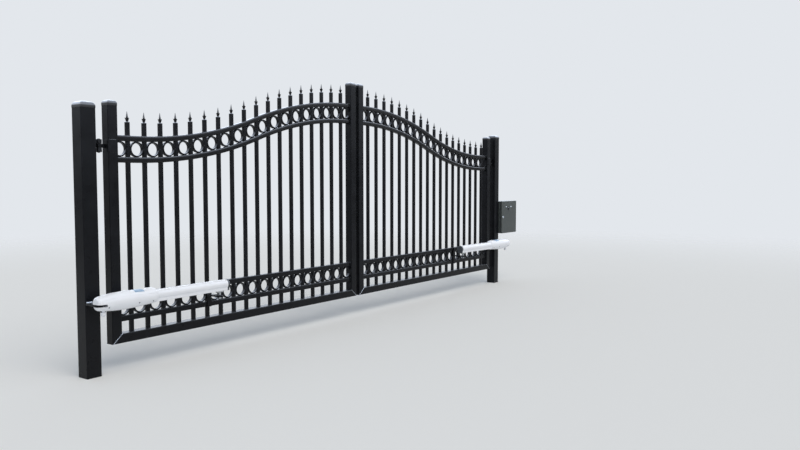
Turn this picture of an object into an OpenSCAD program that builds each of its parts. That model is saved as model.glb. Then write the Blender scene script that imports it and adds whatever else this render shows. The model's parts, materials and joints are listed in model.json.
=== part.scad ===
// Double-leaf ornamental driveway gate with its two posts, its two swing arms and the control box.
// Millimetres, +Z up. The origin is the centre of the left post's foot, on the ground. X runs along
// the closed gate from the left post to the right post, and -Y is the side that the leaves open to.

/* [Posts] */
// Width of each square post
post_w = 101.6; // [90:0.1:130]
// Height of the left post from the ground to its cap
left_post_h = 1685; // [1600:5:1900]
// Height of the right post from the ground to its cap
right_post_h = 1735; // [1600:5:1900]
// Height of the pyramid of a post's cap
post_cap_h = 30; // [10:1:60]
// Height of the skirt under each pyramid
cap_skirt_h = 12; // [5:1:20]

/* [Leaf frame] */
// Clear height under the leaves
ground_gap = 180; // [60:5:250]
// Distance from a post to its leaf
hinge_gap = 91.5; // [90:0.5:96]
// Distance between the two closed leaves
leaf_gap = 42; // [20:1:60]
// Width of the square tube of the stiles
stile_w = 70; // [60:0.5:76]
// Height of the bottom rail
bottom_rail_h = 62; // [50:1:76]
// Width of the square tube of the other rails
rail_w = 38.1; // [32:0.1:45]
// Top of the hinge stile's tube above the leaf's lower edge
hinge_stile_h = 1533; // [1500:1:1600]
// Top of the meeting stile's tube above the leaf's lower edge
meeting_stile_h = 1901; // [1850:1:2000]
// Height of the pyramid of a stile's cap
stile_cap_h = 24; // [8:1:30]
// Top of the lower band rail above the leaf's lower edge
band_rail_top = 176; // [150:1:220]

/* [Pickets] */
// Number of pickets in a leaf
picket_count = 18; // [12:1:22]
// Width of a square picket
picket_w = 25.4; // [19:0.1:30]
// Clear space between two pickets, which a ring fills
picket_gap = 101.6; // [90:0.1:110]
// Clear space between the hinge stile and the first picket, where the end rings are cut off
hinge_end_gap = 79; // [70:1:101]
// Clear space between the last picket and the meeting stile, where the end rings are cut off
meeting_end_gap = 93; // [70:1:101]
// Height of the pickets above the top rail
picket_rise = 83; // [40:1:120]
// Height of a finial
finial_h = 74; // [50:1:100]

/* [Crown curve] */
// Height of the top rail at the hinge stile, above the leaf's lower edge
crown_low = 1350; // [1300:1:1400]
// Climb of the top rail from the hinge stile to the meeting stile
crown_rise = 394; // [390:1:450]
// Steepest slope of the top rail, in degrees
crown_slope = 20.2; // [15:0.1:20.2]
// Level stretch of the top rail beside the hinge stile
crown_flat = 138; // [60:1:145]
// Radius of the lower bend, along the top of the top rail
low_radius = 3040; // [2000:10:3050]
// Radius of the upper bend, along the top of the top rail
high_radius = 3330; // [2000:10:3350]

/* [Rings] */
// Radial thickness of a ring
ring_t = 9.5; // [6:0.5:12]
// Depth of a ring, front to back
ring_depth = 25.4; // [12:0.1:30]

/* [Hinges] */
// Distance from the post's face to the hinge pin
hinge_offset = 46; // [45:0.5:48]
// Heights of the two hinges above the ground
hinge_heights = [437, 1456];
// Height of a hinge over its three knuckles
hinge_h = 81; // [60:1:120]
// Outer diameter of a hinge knuckle
knuckle_d = 38; // [28:1:40]
// Diameter of a hinge pin
hinge_pin_d = 18; // [12:1:22]
// Thickness of the straps welded to the stile
strap_t = 5; // [4:0.5:5]
// Length of a strap over the front of the stile
strap_reach = 55; // [40:1:60]

/* [Swing arms] */
// Height of the arms above the ground
arm_z = 484; // [480:1:500]
// Rear pivot of the left arm, from the post's centre along the gate
pivot_x = -38; // [-40:1:-20]
// Rear pivot of the left arm, from the post's centre across the gate
pivot_y = -168; // [-180:1:-160]
// Number of the picket that carries the gate bracket, counted from the hinge
bracket_picket = 6; // [5:1:7]
// Distance of the front pin from the leaf's middle plane
front_pin_y = -138; // [-145:1:-130]
// Largest diameter of the motor housing
housing_d = 117; // [110:1:125]
// Diameter of the arm's tube
tube_d = 70; // [70:1:80]
// Width of the rail under the arm's tube
tube_foot_w = 54; // [50:1:60]
// Depth of the rail's underside below the arm's axis
tube_foot = 39.5; // [35:0.5:45]
// Length of the motor housing in front of the rear pivot
housing_len = 412; // [400:1:420]
// Length of the arm in front of the rear pivot
arm_len = 1046; // [1030:1:1100]
// Width of the slot under the tube
slot_w = 24; // [18:1:30]

/* [Control box] */
// Width of the control box
box_w = 380; // [300:5:420]
// Height of the control box
box_h = 388; // [300:1:420]
// Depth of the control box over its door
box_d = 145; // [120:1:180]
// Underside of the control box above the ground
box_z = 596; // [500:1:800]
// Sheet thickness of the control box
box_wall = 3; // [2:0.5:5]
// Depth of the door's rim
door_d = 22; // [15:1:40]
// Diameter of the knuckles of the door's hinges
door_knuckle_d = 10; // [8:0.5:10]

/* [Hidden] */

black_paint = "#1c1c1f";
white_paint = "#f2f2f4";
zinc = "#b5b8ba";
box_enamel = "#7d8a86";

// Overhang of every cap past its tube
cap_lap = 4;

// Places along the left leaf
stile_x = post_w / 2 + hinge_gap;
field_x = stile_x + stile_w;
picket_pitch = picket_w + picket_gap;
field_w = hinge_end_gap + (picket_count - 1) * picket_pitch + picket_w + meeting_end_gap;
leaf_w = field_w + 2 * stile_w;
meeting_x = field_x + field_w;
span = 2 * (stile_x + leaf_w) + leaf_gap;
function picket_x(i) = field_x + hinge_end_gap + picket_w / 2 + i * picket_pitch;
function gap_x(i) = picket_x(i) - picket_pitch / 2;

// Heights of the leaf
leaf_z = ground_gap;
band_top_z = leaf_z + band_rail_top;
band_ring_z = band_top_z + picket_gap / 2;
upper_band_top_z = band_top_z + picket_gap + rail_w;

// Centres and lengths of the crown curve, whose lines all run parallel to the top rail's top
crown_x1 = field_x + crown_flat;
crown_z1 = leaf_z + crown_low;
crown_line = (crown_rise - (low_radius + high_radius) * (1 - cos(crown_slope))) / sin(crown_slope);
crown_x2 = crown_x1 + (low_radius + high_radius) * sin(crown_slope) + crown_line * cos(crown_slope);
crown_z2 = crown_z1 + crown_rise;
crown_steps = 40;
ring_drop = rail_w + picket_gap / 2;
second_drop = rail_w + picket_gap;

// Points of the crown line that runs the given distance under the top of the top rail
function crown_points(drop) = concat(
    [[field_x, crown_z1 - drop]],
    [for (i = [0:crown_steps]) let (a = crown_slope * i / crown_steps, r = low_radius + drop)
        [crown_x1 + r * sin(a), crown_z1 + low_radius - r * cos(a)]],
    [for (i = [crown_steps:-1:0]) let (a = crown_slope * i / crown_steps, r = high_radius - drop)
        [crown_x2 - r * sin(a), crown_z2 - high_radius + r * cos(a)]],
    [[meeting_x, crown_z2 - drop]]
);

// Height of that line at a given place along the leaf
function crown_height(x, drop) =
    let (low_r = low_radius + drop, high_r = high_radius - drop)
    x <= crown_x1 ? crown_z1 - drop
    : x <= crown_x1 + low_r * sin(crown_slope)
        ? crown_z1 + low_radius - sqrt(low_r * low_r - pow(x - crown_x1, 2))
    : x <= crown_x2 - high_r * sin(crown_slope)
        ? crown_z1 + low_radius - low_r * cos(crown_slope)
            + (x - crown_x1 - low_r * sin(crown_slope)) * tan(crown_slope)
    : x <= crown_x2 ? crown_z2 - high_radius + sqrt(high_r * high_r - pow(crown_x2 - x, 2))
    : crown_z2 - drop;

function reversed(list) = [for (i = [len(list) - 1:-1:0]) list[i]];

// Finials
blade_t = 7;
finial_foot_h = 6;

// Hinges
hinge_x = post_w / 2 + hinge_offset;
knuckle_h = hinge_h / 3;
knuckle_play = 1;
pin_play = 0.08;
hinge_web_t = 14;
hinge_pin_rise = 5;

// Swing arm
front_pin_x = picket_x(bracket_picket - 1);
arm_angle = atan2(front_pin_y - pivot_y, front_pin_x - pivot_x);
carriage_s = norm([front_pin_x - pivot_x, front_pin_y - pivot_y]);
arm_pin_d = 16;
tongue_t = 12;
tongue_play = 2;
tongue_w = 50;
tongue_drop = 11;
nose_len = 20;
nose_slot_s = 57;
pivot_pin_h = 80;
tube_lift = 3;
cap_len = 16;
cap_grow = 1.5;
slot_s0 = 600;
slot_s1 = 1020;
slot_h = 30;
carriage_len = 60;
carriage_play = 1;
carriage_drop = 12;
carriage_pin_d = 18;
carriage_pin_h = 20;
bracket_play = 2;
bracket_t = 12;
bracket_plate_w = 38;
bracket_plate_t = 8;
bracket_nut_d = 30;
bracket_nut_h = 12;
bracket_top_z = arm_z - tube_foot - carriage_drop - carriage_pin_h - bracket_play;

// Control box
box_gap = 4;
box_x = span + post_w / 2 + box_gap;
box_back_y = post_w / 2;
box_front_y = box_back_y - box_d;
door_play = 5;
box_body_d = box_d - door_d - door_play;
box_edge_y = box_back_y - box_body_d;
door_lap = 1;
strut_w = 41;
strut_t = 2.5;
strut_mouth = 22;
strut_inset = 75;
strut_end_gap = 20;
door_hinge_inset = 70;
door_hinge_x = box_x + box_w + 7;
door_hinge_y = (box_front_y + door_d + box_edge_y) / 2;
door_hinge_zs = [box_z + door_hinge_inset, box_z + box_h - door_hinge_inset];
door_pin_d = 5;
door_knuckle_h = 20;
door_knuckle_play = 0.5;
lock_inset_x = 165;
lock_inset_z = 90;
lock_d = 32;
lock_h = 16;

// A profile drawn in X and Z, with the given thickness across the gate
module across(depth) {
    translate([0, depth / 2, 0])
        rotate([90, 0, 0])
            linear_extrude(height = depth)
                children();
}

// The same piece on the right of the gate
module on_right() {
    translate([span, 0, 0])
        mirror([1, 0, 0])
            children();
}

// The left arm's own place, with its rear pivot at the origin and its axis along X
module on_arm() {
    translate([pivot_x, pivot_y, arm_z])
        rotate([0, 0, arm_angle])
            children();
}

// A skirt with a shallow pyramid on it, where two gables cross
module pyramid_cap(width, height) {
    half = width / 2 + cap_lap;
    gable = [[-half, 0], [half, 0], [half, cap_skirt_h], [0, cap_skirt_h + height], [-half, cap_skirt_h]];
    intersection_for(turn = [0, 90])
        rotate([90, 0, turn])
            linear_extrude(height = 2 * half, center = true)
                polygon(gable);
}

module post(height) {
    color(black_paint)
        translate([-post_w / 2, -post_w / 2, 0])
            cube([post_w, post_w, height]);
}

module post_caps() {
    color(black_paint)
        for (top = [[0, left_post_h], [span, right_post_h]])
            translate([top[0], 0, top[1]])
                pyramid_cap(post_w, post_cap_h);
}

module hinge_stile() {
    color(black_paint)
        across(stile_w)
            polygon([
                [stile_x, leaf_z],
                [field_x, leaf_z + bottom_rail_h],
                [field_x, leaf_z + hinge_stile_h],
                [stile_x, leaf_z + hinge_stile_h]
            ]);
}

module meeting_stile() {
    color(black_paint)
        across(stile_w)
            polygon([
                [meeting_x, leaf_z + bottom_rail_h],
                [meeting_x + stile_w, leaf_z],
                [meeting_x + stile_w, leaf_z + meeting_stile_h],
                [meeting_x, leaf_z + meeting_stile_h]
            ]);
}

module stile_caps() {
    color(black_paint) {
        translate([stile_x + stile_w / 2, 0, leaf_z + hinge_stile_h])
            pyramid_cap(stile_w, stile_cap_h);
        translate([meeting_x + stile_w / 2, 0, leaf_z + meeting_stile_h])
            pyramid_cap(stile_w, stile_cap_h);
    }
}

module bottom_rail() {
    color(black_paint)
        across(stile_w)
            polygon([
                [stile_x, leaf_z],
                [meeting_x + stile_w, leaf_z],
                [meeting_x, leaf_z + bottom_rail_h],
                [field_x, leaf_z + bottom_rail_h]
            ]);
}

// The square holes that the pickets pass through
module picket_holes(z0, z1) {
    for (i = [0:picket_count - 1])
        translate([picket_x(i) - picket_w / 2, -picket_w / 2, z0])
            cube([picket_w, picket_w, z1 - z0]);
}

module band_rails() {
    color(black_paint)
        for (top = [band_top_z, upper_band_top_z])
            difference() {
                translate([field_x, -rail_w / 2, top - rail_w])
                    cube([field_w, rail_w, rail_w]);
                picket_holes(top - rail_w - 1, top + 1);
            }
}

// A rail that follows the crown curve, its top the given distance under the top rail's top
module crown_rail(drop) {
    difference() {
        across(rail_w)
            polygon(concat(crown_points(drop), reversed(crown_points(drop + rail_w))));
        picket_holes(crown_z1 - drop - 2 * rail_w, crown_z2 + rail_w);
    }
}

module top_rail() {
    color(black_paint)
        crown_rail(0);
}

module second_rail() {
    color(black_paint)
        crown_rail(second_drop);
}

module pickets() {
    color(black_paint)
        for (i = [0:picket_count - 1])
            let (x = picket_x(i), z0 = leaf_z + bottom_rail_h, z1 = crown_height(x, 0) + picket_rise)
                translate([x - picket_w / 2, -picket_w / 2, z0])
                    cube([picket_w, picket_w, z1 - z0]);
}

// Half of a finial's outline, with its heights as shares of the whole
finial_points = [
    [13, 0], [13, 0.08], [7, 0.12], [6, 0.21], [15, 0.4], [11, 0.41], [5, 0.32], [8, 0.53], [2, 0.97], [0, 1]
];

module finial_blade() {
    rotate([90, 0, 0])
        linear_extrude(height = blade_t, center = true)
            scale([1, finial_h])
                polygon(concat(finial_points, [for (p = reversed(finial_points)) [-p[0], p[1]]]));
}

module finial() {
    union() {
        finial_blade();
        rotate([0, 0, 90])
            finial_blade();
        translate([-picket_w / 2, -picket_w / 2, 0])
            cube([picket_w, picket_w, finial_foot_h]);
    }
}

module finials() {
    color(black_paint)
        for (i = [0:picket_count - 1])
            translate([picket_x(i), 0, crown_height(picket_x(i), 0) + picket_rise])
                finial();
}

module ring() {
    rotate([90, 0, 0])
        difference() {
            cylinder(h = ring_depth, d = picket_gap, center = true, $fn = 64);
            cylinder(h = ring_depth + 2, d = picket_gap - 2 * ring_t, center = true, $fn = 64);
        }
}

// The part of a ring that the narrower end gaps leave between the stiles
module ring_between_stiles(x, z) {
    intersection() {
        translate([x, 0, z])
            ring();
        translate([field_x, -ring_depth, z - picket_gap])
            cube([field_w, 2 * ring_depth, 2 * picket_gap]);
    }
}

module rings() {
    color(black_paint) {
        for (i = [1:picket_count - 1]) {
            translate([gap_x(i), 0, band_ring_z])
                ring();
            translate([gap_x(i), 0, crown_height(gap_x(i), ring_drop)])
                ring();
        }
        for (i = [0, picket_count]) {
            ring_between_stiles(gap_x(i), band_ring_z);
            ring_between_stiles(gap_x(i), crown_height(gap_x(i), ring_drop));
        }
    }
}

// Fixed halves of the hinges: a web on the post's face, two knuckles and the pin through them
module post_hinges() {
    color(black_paint)
        for (z = hinge_heights)
            translate([hinge_x, 0, z]) {
                for (k = [-1, 1])
                    translate([0, 0, k * knuckle_h - knuckle_h / 2]) {
                        cylinder(h = knuckle_h, d = knuckle_d, $fn = 48);
                        translate([-hinge_offset, -hinge_web_t / 2, 0])
                            cube([hinge_offset, hinge_web_t, knuckle_h]);
                    }
                cylinder(h = hinge_h + 2 * hinge_pin_rise, d = hinge_pin_d, center = true, $fn = 48);
            }
}

// Moving halves: a knuckle on the pin, its web and a strap over the front of the stile
module leaf_hinges() {
    h = knuckle_h - 2 * knuckle_play;
    reach = hinge_gap - hinge_offset;
    color(black_paint)
        for (z = hinge_heights)
            translate([hinge_x, 0, z - h / 2])
                difference() {
                    union() {
                        cylinder(h = h, d = knuckle_d, $fn = 48);
                        translate([0, -hinge_web_t / 2, 0])
                            cube([reach, hinge_web_t, h]);
                        translate([reach - strap_t, -stile_w / 2 - strap_t, (h - hinge_h) / 2])
                            cube([strap_t, stile_w / 2 + strap_t + hinge_web_t / 2, hinge_h]);
                        translate([reach - strap_t, -stile_w / 2 - strap_t, (h - hinge_h) / 2])
                            cube([strap_reach + strap_t, strap_t, hinge_h]);
                    }
                    translate([0, 0, -1])
                        cylinder(h = h + 2, d = hinge_pin_d + 2 * pin_play, $fn = 48);
                }
}

// The tongue on the post that the arm's nose swings on, with its pin
module arm_bracket() {
    color(black_paint)
        translate([0, 0, arm_z - tongue_drop - tongue_t / 2])
            linear_extrude(height = tongue_t)
                difference() {
                    union() {
                        translate([pivot_x, pivot_y])
                            circle(d = tongue_w, $fn = 48);
                        polygon([
                            [-post_w / 2, -post_w / 2],
                            [pivot_x - tongue_w / 2, pivot_y],
                            [pivot_x + tongue_w / 2, pivot_y],
                            [post_w / 4, -post_w / 2]
                        ]);
                    }
                    translate([pivot_x, pivot_y])
                        circle(d = arm_pin_d, $fn = 48);
                }
    color(zinc)
        translate([pivot_x, pivot_y, arm_z])
            cylinder(h = pivot_pin_h, d = arm_pin_d, center = true, $fn = 48);
}

// Stations along the housing: place as a share of the length before the pivot or, below zero, of the
// nose behind it, and diameter as a share of the largest
housing_points = [
    [-1, 0], [-1, 0.44], [-0.85, 0.55], [-0.6, 0.66], [-0.3, 0.73], [0, 0.76], [0.073, 0.84],
    [0.17, 0.915], [0.267, 0.965], [0.364, 0.995], [0.437, 1], [0.534, 0.985], [0.636, 0.96],
    [0.728, 0.925], [0.82, 0.87], [0.87, 0.865], [0.94, 0.83], [0.985, 0.775], [1, 0.7],
    [1, 0]
];

// Plan of the slot in the nose: open behind the pin, rounded in front and straight beside the tongue
module nose_slot() {
    translate([-nose_len - 1, -housing_d])
        square([nose_len + 1, 2 * housing_d]);
    square([nose_slot_s, housing_d]);
    circle(r = nose_slot_s, $fn = 96);
}

module arm_housing() {
    color(white_paint)
        on_arm()
            difference() {
                rotate([0, 90, 0])
                    rotate([0, 0, 90])
                        rotate_extrude($fn = 96)
                            polygon([
                                for (p = housing_points)
                                    [p[1] * housing_d / 2, p[0] > 0 ? p[0] * housing_len : p[0] * nose_len]
                            ]);
                translate([0, 0, -tongue_drop - tongue_t / 2 - tongue_play])
                    linear_extrude(height = tongue_t + 2 * tongue_play)
                        nose_slot();
                cylinder(h = 2 * housing_d, d = arm_pin_d + 2 * pin_play, center = true, $fn = 48);
            }
}

// Outline of the tube across the arm, a round over a flat rail, grown all round
module tube_outline(grow) {
    translate([0, tube_lift])
        circle(d = tube_d + 2 * grow, $fn = 96);
    translate([-tube_foot_w / 2 - grow, -tube_foot - grow])
        square([tube_foot_w + 2 * grow, tube_foot + grow + tube_lift]);
}

module arm_tube() {
    color(white_paint)
        on_arm()
            difference() {
                translate([housing_len, 0, 0])
                    rotate([90, 0, 90])
                        linear_extrude(height = arm_len - cap_len - housing_len)
                            tube_outline(0);
                translate([slot_s0, -slot_w / 2, -tube_foot - 1])
                    cube([slot_s1 - slot_s0, slot_w, slot_h + 1]);
            }
}

module arm_cap() {
    color("#3a3d40")
        on_arm()
            translate([arm_len - cap_len, 0, 0])
                rotate([90, 0, 90])
                    linear_extrude(height = cap_len)
                        tube_outline(cap_grow);
}

module arm_carriage() {
    color(zinc)
        on_arm()
            translate([carriage_s, 0, -tube_foot]) {
                translate([-carriage_len / 2, -slot_w / 2 + carriage_play, -carriage_drop])
                    cube([
                        carriage_len,
                        slot_w - 2 * carriage_play,
                        carriage_drop + slot_h - 2 * carriage_play
                    ]);
                translate([0, 0, -carriage_drop - carriage_pin_h])
                    cylinder(h = carriage_pin_h, d = carriage_pin_d, $fn = 48);
            }
}

module gate_bracket() {
    color(black_paint) {
        translate([front_pin_x - bracket_plate_w / 2, -rail_w / 2 - bracket_plate_t, band_top_z - rail_w])
            cube([bracket_plate_w, bracket_plate_t, upper_band_top_z - band_top_z + rail_w]);
        translate([0, 0, bracket_top_z - bracket_t])
            linear_extrude(height = bracket_t)
                union() {
                    translate([front_pin_x, front_pin_y])
                        circle(d = tongue_w, $fn = 48);
                    translate([front_pin_x - bracket_plate_w / 2, front_pin_y])
                        square([bracket_plate_w, -front_pin_y - rail_w / 2 - bracket_plate_t / 2]);
                }
        translate([front_pin_x, front_pin_y, bracket_top_z - bracket_t - bracket_nut_h])
            cylinder(h = bracket_nut_h, d = bracket_nut_d, $fn = 6);
    }
}

// The box's own half of the door hinges: two knuckles on webs, and the pin through them
module box_hinges() {
    for (z = door_hinge_zs)
        translate([door_hinge_x, door_hinge_y, z]) {
            for (k = [-1, 1])
                translate([0, 0, (k - 0.5) * door_knuckle_h]) {
                    cylinder(h = door_knuckle_h, d = door_knuckle_d, $fn = 32);
                    translate([box_x + box_w - door_hinge_x, box_edge_y - door_hinge_y, 0])
                        cube([
                            door_hinge_x - box_x - box_w,
                            door_knuckle_d / 2 - box_edge_y + door_hinge_y,
                            door_knuckle_h
                        ]);
                }
            cylinder(h = 3 * door_knuckle_h, d = door_pin_d, center = true, $fn = 32);
        }
}

module control_box() {
    color(box_enamel) {
        difference() {
            translate([box_x, box_edge_y, box_z])
                cube([box_w, box_body_d, box_h]);
            translate([box_x + box_wall, box_edge_y - 1, box_z + box_wall])
                cube([box_w - 2 * box_wall, box_body_d + 1 - box_wall, box_h - 2 * box_wall]);
        }
        box_hinges();
    }
}

// Two lengths of channel behind the post and the box, their open sides turned away
module control_box_rails() {
    color(zinc)
        for (z = [box_z + strut_inset, box_z + box_h - strut_inset])
            translate([span - post_w / 2, box_back_y, z])
                rotate([90, 0, 90])
                    linear_extrude(height = post_w + box_gap + box_w - strut_end_gap)
                        difference() {
                            translate([0, -strut_w / 2])
                                square(strut_w);
                            translate([strut_t, strut_t - strut_w / 2])
                                square(strut_w - 2 * strut_t);
                            translate([strut_t, -strut_mouth / 2])
                                square([strut_w, strut_mouth]);
                        }
}

module control_box_door() {
    knuckle_h = door_knuckle_h - 2 * door_knuckle_play;
    color(box_enamel) {
        difference() {
            translate([box_x - door_lap, box_front_y, box_z - door_lap])
                cube([box_w + 2 * door_lap, door_d, box_h + 2 * door_lap]);
            translate([box_x + box_wall, box_front_y + box_wall, box_z + box_wall])
                cube([box_w - 2 * box_wall, door_d, box_h - 2 * box_wall]);
        }
        for (z = door_hinge_zs)
            translate([door_hinge_x, door_hinge_y, z - knuckle_h / 2])
                difference() {
                    union() {
                        cylinder(h = knuckle_h, d = door_knuckle_d, $fn = 32);
                        translate([box_x + box_w + door_lap - door_hinge_x, -door_knuckle_d / 2, 0])
                            cube([
                                door_hinge_x - box_x - box_w - door_lap,
                                box_front_y + door_d - door_hinge_y + door_knuckle_d / 2,
                                knuckle_h
                            ]);
                    }
                    translate([0, 0, -1])
                        cylinder(h = knuckle_h + 2, d = door_pin_d + 2 * pin_play, $fn = 32);
                }
    }
}

module control_box_lock() {
    color(zinc)
        translate([box_x + lock_inset_x, box_front_y, box_z + box_h - lock_inset_z])
            rotate([90, 0, 0])
                cylinder(h = lock_h, d = lock_d, $fn = 48);
}

post(left_post_h);  // left_post
on_right() post(right_post_h);  // right_post
post_caps();
post_hinges();  // left_post_hinges
on_right() post_hinges();  // right_post_hinges
arm_bracket();  // left_arm_bracket
on_right() arm_bracket();  // right_arm_bracket
control_box();
control_box_rails();
control_box_door();
control_box_lock();
hinge_stile();  // left_hinge_stile
meeting_stile();  // left_meeting_stile
stile_caps();  // left_stile_caps
bottom_rail();  // left_bottom_rail
band_rails();  // left_band_rails
second_rail();  // left_second_rail
top_rail();  // left_top_rail
pickets();  // left_pickets
finials();  // left_finials
rings();  // left_rings
leaf_hinges();  // left_leaf_hinges
gate_bracket();  // left_gate_bracket
on_right() hinge_stile();  // right_hinge_stile
on_right() meeting_stile();  // right_meeting_stile
on_right() stile_caps();  // right_stile_caps
on_right() bottom_rail();  // right_bottom_rail
on_right() band_rails();  // right_band_rails
on_right() second_rail();  // right_second_rail
on_right() top_rail();  // right_top_rail
on_right() pickets();  // right_pickets
on_right() finials();  // right_finials
on_right() rings();  // right_rings
on_right() leaf_hinges();  // right_leaf_hinges
on_right() gate_bracket();  // right_gate_bracket
arm_housing();  // left_arm_housing
arm_tube();  // left_arm_tube
arm_cap();  // left_arm_cap
arm_carriage();  // left_arm_carriage
on_right() arm_housing();  // right_arm_housing
on_right() arm_tube();  // right_arm_tube
on_right() arm_cap();  // right_arm_cap
on_right() arm_carriage();  // right_arm_carriage
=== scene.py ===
"""Dresses a wrought iron double driveway gate: enamel, castings, swing arms and control box.

Lengths are metres in the part's own frame. X runs along the closed gate from the left post, -Y is
the side that the leaves open to, Z is up, and the origin is the centre of the left post's foot.
"""

from __future__ import annotations

import json
import logging
import math
from dataclasses import dataclass, field, replace
from enum import Enum
from typing import Any, Iterable, Sequence

import bmesh
import bpy
from mathutils import Euler, Matrix, Vector

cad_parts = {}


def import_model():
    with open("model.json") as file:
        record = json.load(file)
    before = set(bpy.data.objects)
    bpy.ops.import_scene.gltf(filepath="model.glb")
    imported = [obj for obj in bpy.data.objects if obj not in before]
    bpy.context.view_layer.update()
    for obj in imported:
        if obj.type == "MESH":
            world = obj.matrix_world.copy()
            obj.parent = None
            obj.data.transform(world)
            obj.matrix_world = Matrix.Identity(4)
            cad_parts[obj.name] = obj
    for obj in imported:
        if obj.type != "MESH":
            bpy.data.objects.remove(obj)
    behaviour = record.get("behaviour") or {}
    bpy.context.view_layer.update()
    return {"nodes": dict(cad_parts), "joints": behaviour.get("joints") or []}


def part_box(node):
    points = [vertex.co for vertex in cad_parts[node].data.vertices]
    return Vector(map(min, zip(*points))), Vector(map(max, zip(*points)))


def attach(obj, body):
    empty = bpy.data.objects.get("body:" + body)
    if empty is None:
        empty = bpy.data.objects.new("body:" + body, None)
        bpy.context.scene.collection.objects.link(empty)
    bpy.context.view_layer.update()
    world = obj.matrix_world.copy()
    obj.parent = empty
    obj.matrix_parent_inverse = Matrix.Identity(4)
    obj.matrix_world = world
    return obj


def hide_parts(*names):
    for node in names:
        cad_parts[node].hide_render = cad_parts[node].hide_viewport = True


LOG = logging.getLogger("driveway_gate")
MM = 0.001
# Corners of a mesh that lie closer than this become one
MERGE_WITHIN = 1e-6
# Turns a fitting's own Z axis to -Y, out of the front
OUTWARDS = Matrix.Rotation(math.pi / 2, 4, "X")

# Angles in degrees past which an edge stays sharp
SHARP_SHELL = 30.0
SHARP_CASTING = 35.0
SHARP_CAP = 38.0
SHARP_TUBE = 40.0
SHARP_PLAIN = 50.0
SHARP_BEAD = 60.0

Ring = Sequence[Vector]
Profile = Sequence[tuple[float, float]]


class Side(Enum):
    """Which half of the gate a piece belongs to."""

    LEFT = "left"
    RIGHT = "right"


class Slot(Enum):
    """The record's material slots."""

    BLACK = "black_paint"
    WHITE = "white_paint"
    ZINC = "zinc"
    BOX = "box_enamel"
    CAP = "cap_plastic"
    LOCK = "lock_plastic"


class Input(Enum):
    """Types that an input of a Geometry Nodes tree can have."""

    SHAPE = "NodeSocketGeometry"
    NUMBER = "NodeSocketFloat"
    OBJECT = "NodeSocketObject"
    MATERIAL = "NodeSocketMaterial"


def linear(code: str) -> tuple[float, float, float, float]:
    """Turns an sRGB hex colour into a linear one.

    Args:
        code: six hex digits after a hash sign.

    Returns:
        Red, green, blue and an alpha of 1.
    """
    channels = [int(code[i : i + 2], 16) / 255 for i in (1, 3, 5)]
    values = [c / 12.92 if c <= 0.04045 else ((c + 0.055) / 1.055) ** 2.4 for c in channels]
    return values[0], values[1], values[2], 1.0


def add_node(tree: bpy.types.NodeTree, kind: str, feeds: dict | None = None,
             **settings: Any) -> bpy.types.Node:
    """Adds a node, sets its properties and fills its inputs.

    Args:
        tree: shader or geometry tree that gets the node.
        kind: Blender's name for the type of node.
        feeds: input name or index, and either the socket linked to it or a plain value.
        **settings: properties of the node itself.

    Returns:
        The new node.
    """
    made = tree.nodes.new(kind)
    for name, value in settings.items():
        setattr(made, name, value)
    for key, value in (feeds or {}).items():
        if isinstance(value, bpy.types.NodeSocket):
            tree.links.new(value, made.inputs[key])
        else:
            made.inputs[key].default_value = value
    return made


def mix_colours(tree: bpy.types.NodeTree, share: bpy.types.NodeSocket, first: Any,
                second: Any) -> bpy.types.NodeSocket:
    """Adds a node that mixes two colours.

    Args:
        tree: shader tree that gets the node.
        share: socket that says how much of the second colour shows.
        first: a socket or a plain colour.
        second: a socket or a plain colour.

    Returns:
        The socket that holds the mixed colour.
    """
    # The colour sockets of this node share their names with others, so they go by number
    feeds = {0: share, 6: first, 7: second}
    return add_node(tree, "ShaderNodeMix", feeds, data_type="RGBA").outputs[2]


def soft_step(tree: bpy.types.NodeTree, value: bpy.types.NodeSocket, low: float,
              high: float) -> bpy.types.NodeSocket:
    """Adds a node that rises smoothly from 0 to 1.

    Args:
        tree: shader tree that gets the node.
        value: the socket that it follows.
        low: value at which it starts to rise.
        high: value at which it reaches 1.

    Returns:
        The socket that holds the result.
    """
    span = {"Value": value, "From Min": low, "From Max": high}
    made = add_node(tree, "ShaderNodeMapRange", span, interpolation_type="SMOOTHSTEP")
    return made.outputs["Result"]


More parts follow.
